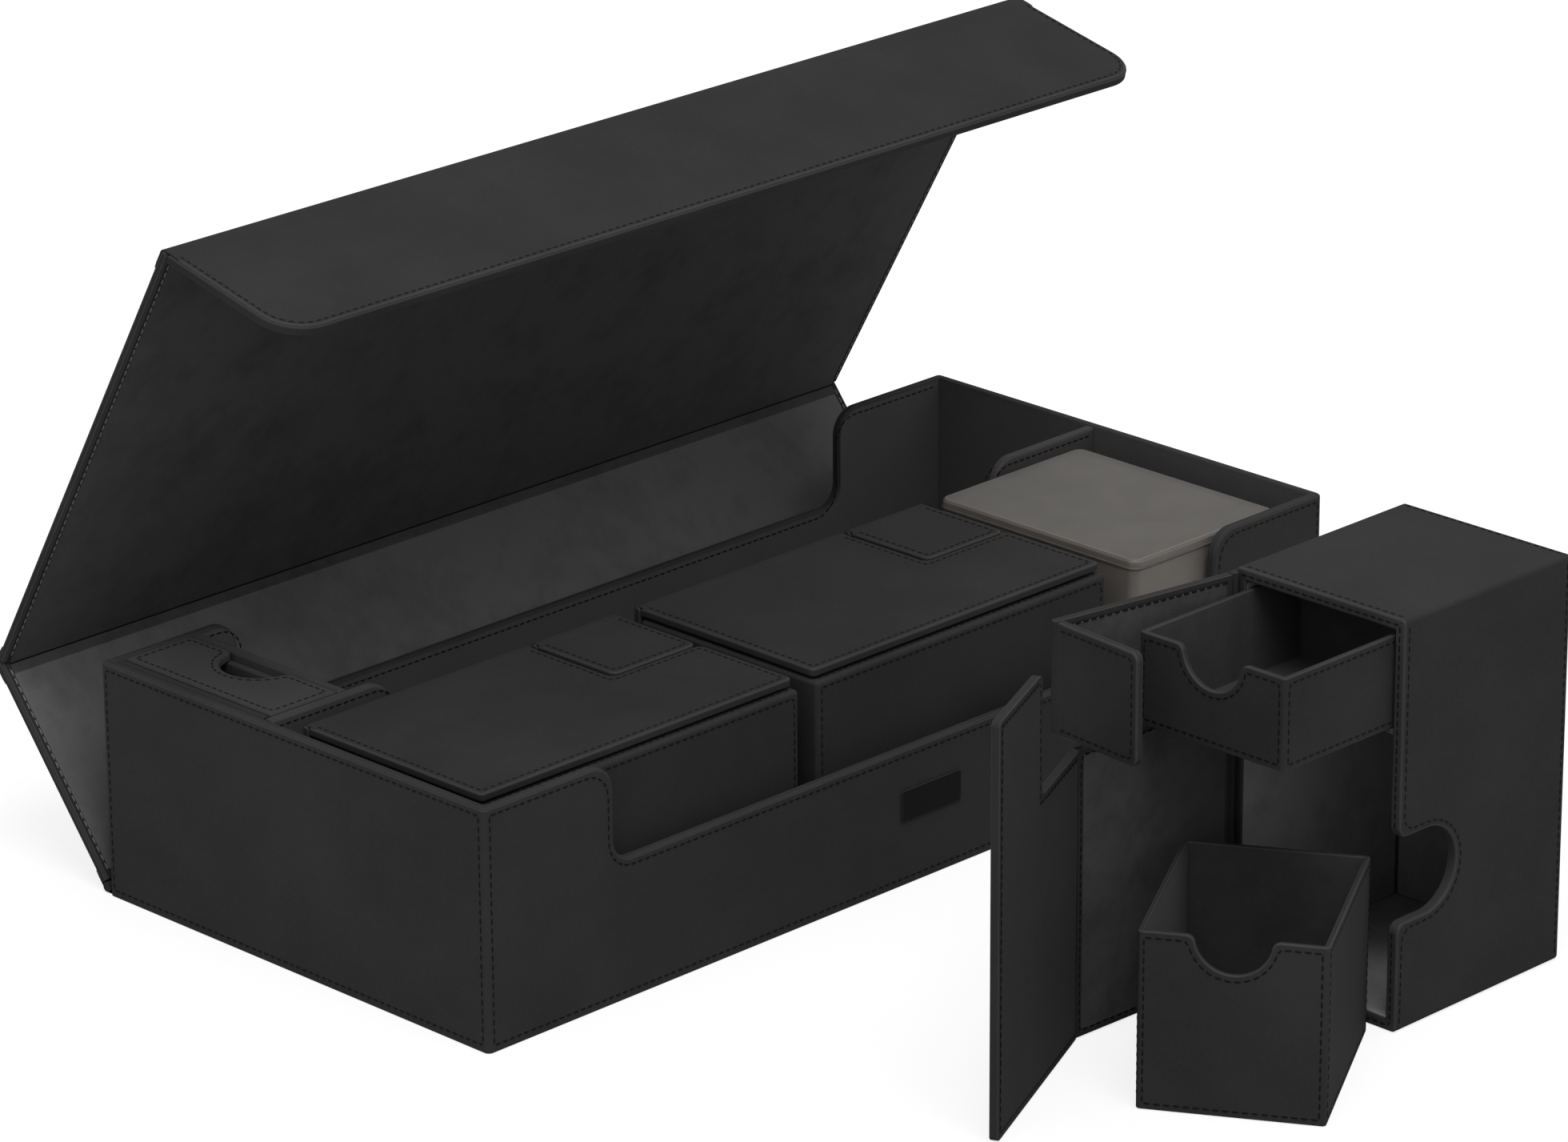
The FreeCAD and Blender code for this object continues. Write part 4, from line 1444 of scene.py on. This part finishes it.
@dataclass
class Studio:
    """Camera, plain floor and level light.

    Places and sizes are in metres, angles in degrees, and the focal length is in
    pixels of a picture that is as wide as said in pixels.
    """

    place: tuple[float, float, float] = (-1.652376, -1.669305, 0.972957)
    azimuth: float = 45.1742
    elevation: float = 20.6609
    roll: float = -0.3343
    focal: float = 8997.06
    pixels: float = 1960.0
    sensor: float = 36.0
    floor_half: float = 30.0
    floor_drop: float = 0.0002
    floor_shade: float = 0.5
    floor_seen: float = 0.85
    floor_glow: float = 1.15
    glow_share: float = 0.7
    sky: float = 0.58
    lamp_place: tuple[float, float, float] = (-0.7, -1.2, 2.8)
    lamp_aim: tuple[float, float, float] = (0, -0.05, 0.08)
    lamp_size: float = 1.8
    lamp_power: float = 48.0

    def build(self) -> None:
        """Make the camera, the floor, the world and the lamp."""
        self.camera()
        self.floor()
        self.light()

    def camera(self) -> None:
        """Set the camera where the photograph was taken from.

        Its first axis is level before the roll turns it about the line of sight.
        """
        az, el, roll = (math.radians(v) for v in
                        (self.azimuth, self.elevation, self.roll))
        right = Vector((math.cos(az), -math.sin(az), 0))
        forward = Vector((math.sin(az) * math.cos(el), math.cos(az) * math.cos(el),
                          -math.sin(el)))
        up = right.cross(forward)
        across = right * math.cos(roll) + up * math.sin(roll)
        above = -right * math.sin(roll) + up * math.cos(roll)
        data = bpy.data.cameras.new("camera")
        data.sensor_width = self.sensor
        data.lens = self.focal / self.pixels * self.sensor
        data.clip_start, data.clip_end = 0.1, 50.0
        camera = bpy.data.objects.new("camera", data)
        bpy.context.scene.collection.objects.link(camera)
        made = Matrix((across, above, -forward)).transposed().to_4x4()
        made.translation = Vector(self.place)
        camera.matrix_world = made
        bpy.context.scene.camera = camera

    def floor(self) -> None:
        """Lay a plain pale floor under the set.

        The camera sees a paler floor than the light that the set gets from it.
        """
        mesh = bpy.data.meshes.new("floor")
        size = self.floor_half
        mesh.from_pydata([(-size, -size, 0), (size, -size, 0), (size, size, 0),
                          (-size, size, 0)], [], [(0, 1, 2, 3)])
        floor = bpy.data.objects.new("floor", mesh)
        floor.location.z = -self.floor_drop
        bpy.context.scene.collection.objects.link(floor)
        n = Nodes("pale_floor")
        dark, pale = (self.floor_shade,) * 3, (self.floor_seen,) * 3
        shade = n.add("MixRGB", Color1=(*dark, 1), Color2=(*pale, 1))
        diffuse = n.add("BsdfDiffuse", Color=shade.outputs["Color"])
        glow = n.add("Emission", Color=(1, 1, 1, 1), Strength=self.floor_glow)
        ray = n.add("LightPath")
        n.tree.links.new(ray.outputs["Is Camera Ray"], shade.inputs[0])
        share = n.add("Math", operation="MULTIPLY")
        n.tree.links.new(ray.outputs["Is Camera Ray"], share.inputs[0])
        share.inputs[1].default_value = self.glow_share
        mixed = n.add("MixShader")
        n.tree.links.new(share.outputs[0], mixed.inputs[0])
        n.tree.links.new(diffuse.outputs[0], mixed.inputs[1])
        n.tree.links.new(glow.outputs[0], mixed.inputs[2])
        n.tree.links.new(mixed.outputs[0], n.output.inputs["Surface"])
        mesh.materials.append(n.material)

    def light(self) -> None:
        """Set the world and the lamp to a plain level.

        The camera sees a white sky, and the set gets the darker level of sky.
        """
        world = bpy.data.worlds.new("studio")
        bpy.context.scene.world = world
        world.use_nodes = True
        tree = world.node_tree
        tree.nodes.clear()
        output = tree.nodes.new("ShaderNodeOutputWorld")
        plain = tree.nodes.new("ShaderNodeBackground")
        plain.inputs["Strength"].default_value = self.sky
        seen = tree.nodes.new("ShaderNodeBackground")
        seen.inputs["Strength"].default_value = 1.0
        for node in (plain, seen):
            node.inputs["Color"].default_value = (1, 1, 1, 1)
        ray = tree.nodes.new("ShaderNodeLightPath")
        mixed = tree.nodes.new("ShaderNodeMixShader")
        tree.links.new(ray.outputs["Is Camera Ray"], mixed.inputs[0])
        tree.links.new(plain.outputs[0], mixed.inputs[1])
        tree.links.new(seen.outputs[0], mixed.inputs[2])
        tree.links.new(mixed.outputs[0], output.inputs["Surface"])
        self.lamp()

    def lamp(self) -> None:
        """Hang a soft square lamp that points at the middle of the set."""
        data = bpy.data.lights.new("key", "AREA")
        data.size, data.energy = self.lamp_size, self.lamp_power
        lamp = bpy.data.objects.new("key", data)
        lamp.location = self.lamp_place
        sight = Vector(self.lamp_aim) - Vector(self.lamp_place)
        lamp.rotation_euler = sight.to_track_quat("-Z", "Y").to_euler()
        bpy.context.scene.collection.objects.link(lamp)


@dataclass(frozen=True)
class Layout:
    """Where the three cases and their trays and drawers are, in millimetres."""

    box_left: float = -206.0
    stored: tuple[tuple[str, float], ...] = (("deck_a", 8.5), ("deck_b", 161.5))
    stored_front: float = -1.5
    stored_top: float = 81.8
    open_at: tuple[float, float, float] = (11.3, -295.8, 0)
    open_angles: tuple[float, float, float, float] = (178, 205.3, 170.2, 265)
    closed_angles: tuple[float, float, float, float] = (-90, 0, -90, 0)
    drawer: tuple[float, float, float] = (79.5, 62, 32)
    drawer_notch: float = 12.5
    drawer_at: tuple[float, float, float] = (0.3, 5.0, 106.0)
    drawer_pulled: float = 52.8
    tray: tuple[float, float, float] = (77, 61.8, 62)
    tray_notch: float = 12.6
    tray_at: tuple[float, float, float] = (1.0, 5.1, 4.2)
    stand_at: tuple[float, float, float] = (-59.0, -326.8, 0)
    stand_turn: float = 30.75

    @staticmethod
    def moved(place: tuple[float, float, float]) -> Matrix:
        """Give a frame that is moved to a place in millimetres and not turned."""
        return Matrix.Translation(Vector(place) * MM)

    def stored_place(self, left: float) -> Matrix:
        """Give the frame of a case that lies in the box.

        Args:
            left: distance of the case from the box's left end.

        Returns:
            The frame.
        """
        made = Matrix((-BACK, -UP, RIGHT)).transposed().to_4x4()
        made.translation = Vector((self.box_left + left, self.stored_front,
                                   self.stored_top)) * MM
        return made

    def items(self) -> list[DeckCase | Tray]:
        """Give the three deck cases and all their trays and drawers.

        Returns:
            The items in the order in which they are built.
        """
        made: list[DeckCase | Tray] = []
        for name, left in self.stored:
            place = self.stored_place(left)
            made.append(DeckCase(name, name, place, self.closed_angles, (
                f"{name}_door", f"{name}_wrap", f"{name}_small_door", f"{name}_tab")))
            made.append(Tray(f"{name}_drawer", name, place @ self.moved(self.drawer_at),
                             *self.drawer, self.drawer_notch))
            made.append(Tray(f"{name}_tray", name, place @ self.moved(self.tray_at),
                             *self.tray, self.tray_notch))
        place = self.moved(self.open_at)
        made.append(DeckCase("open", "open_case", place, self.open_angles, (
            "open_door", "open_wrap", "open_small_door", "open_tab"), True))
        across, deep, high = self.drawer_at
        pulled = self.moved((across - self.drawer_pulled, deep, high))
        made.append(Tray("open_drawer", "dice_drawer", place @ pulled, *self.drawer,
                         self.drawer_notch))
        stand = self.moved(self.stand_at) @ Matrix.Rotation(
            math.radians(self.stand_turn), 4, "Z")
        made.append(Tray("open_tray", "card_tray", stand, *self.tray, self.tray_notch))
        return made


def main() -> None:
    logging.basicConfig(level=logging.INFO, format="%(message)s")
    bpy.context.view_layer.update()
    bpy.context.scene.view_settings.view_transform = "Standard"
    Studio().build()
    LargeBox().build()
    FoldingLid().build()
    for item in Layout().items():
        item.build()
    ClearBox().build()


if __name__ == "__main__":
    main()
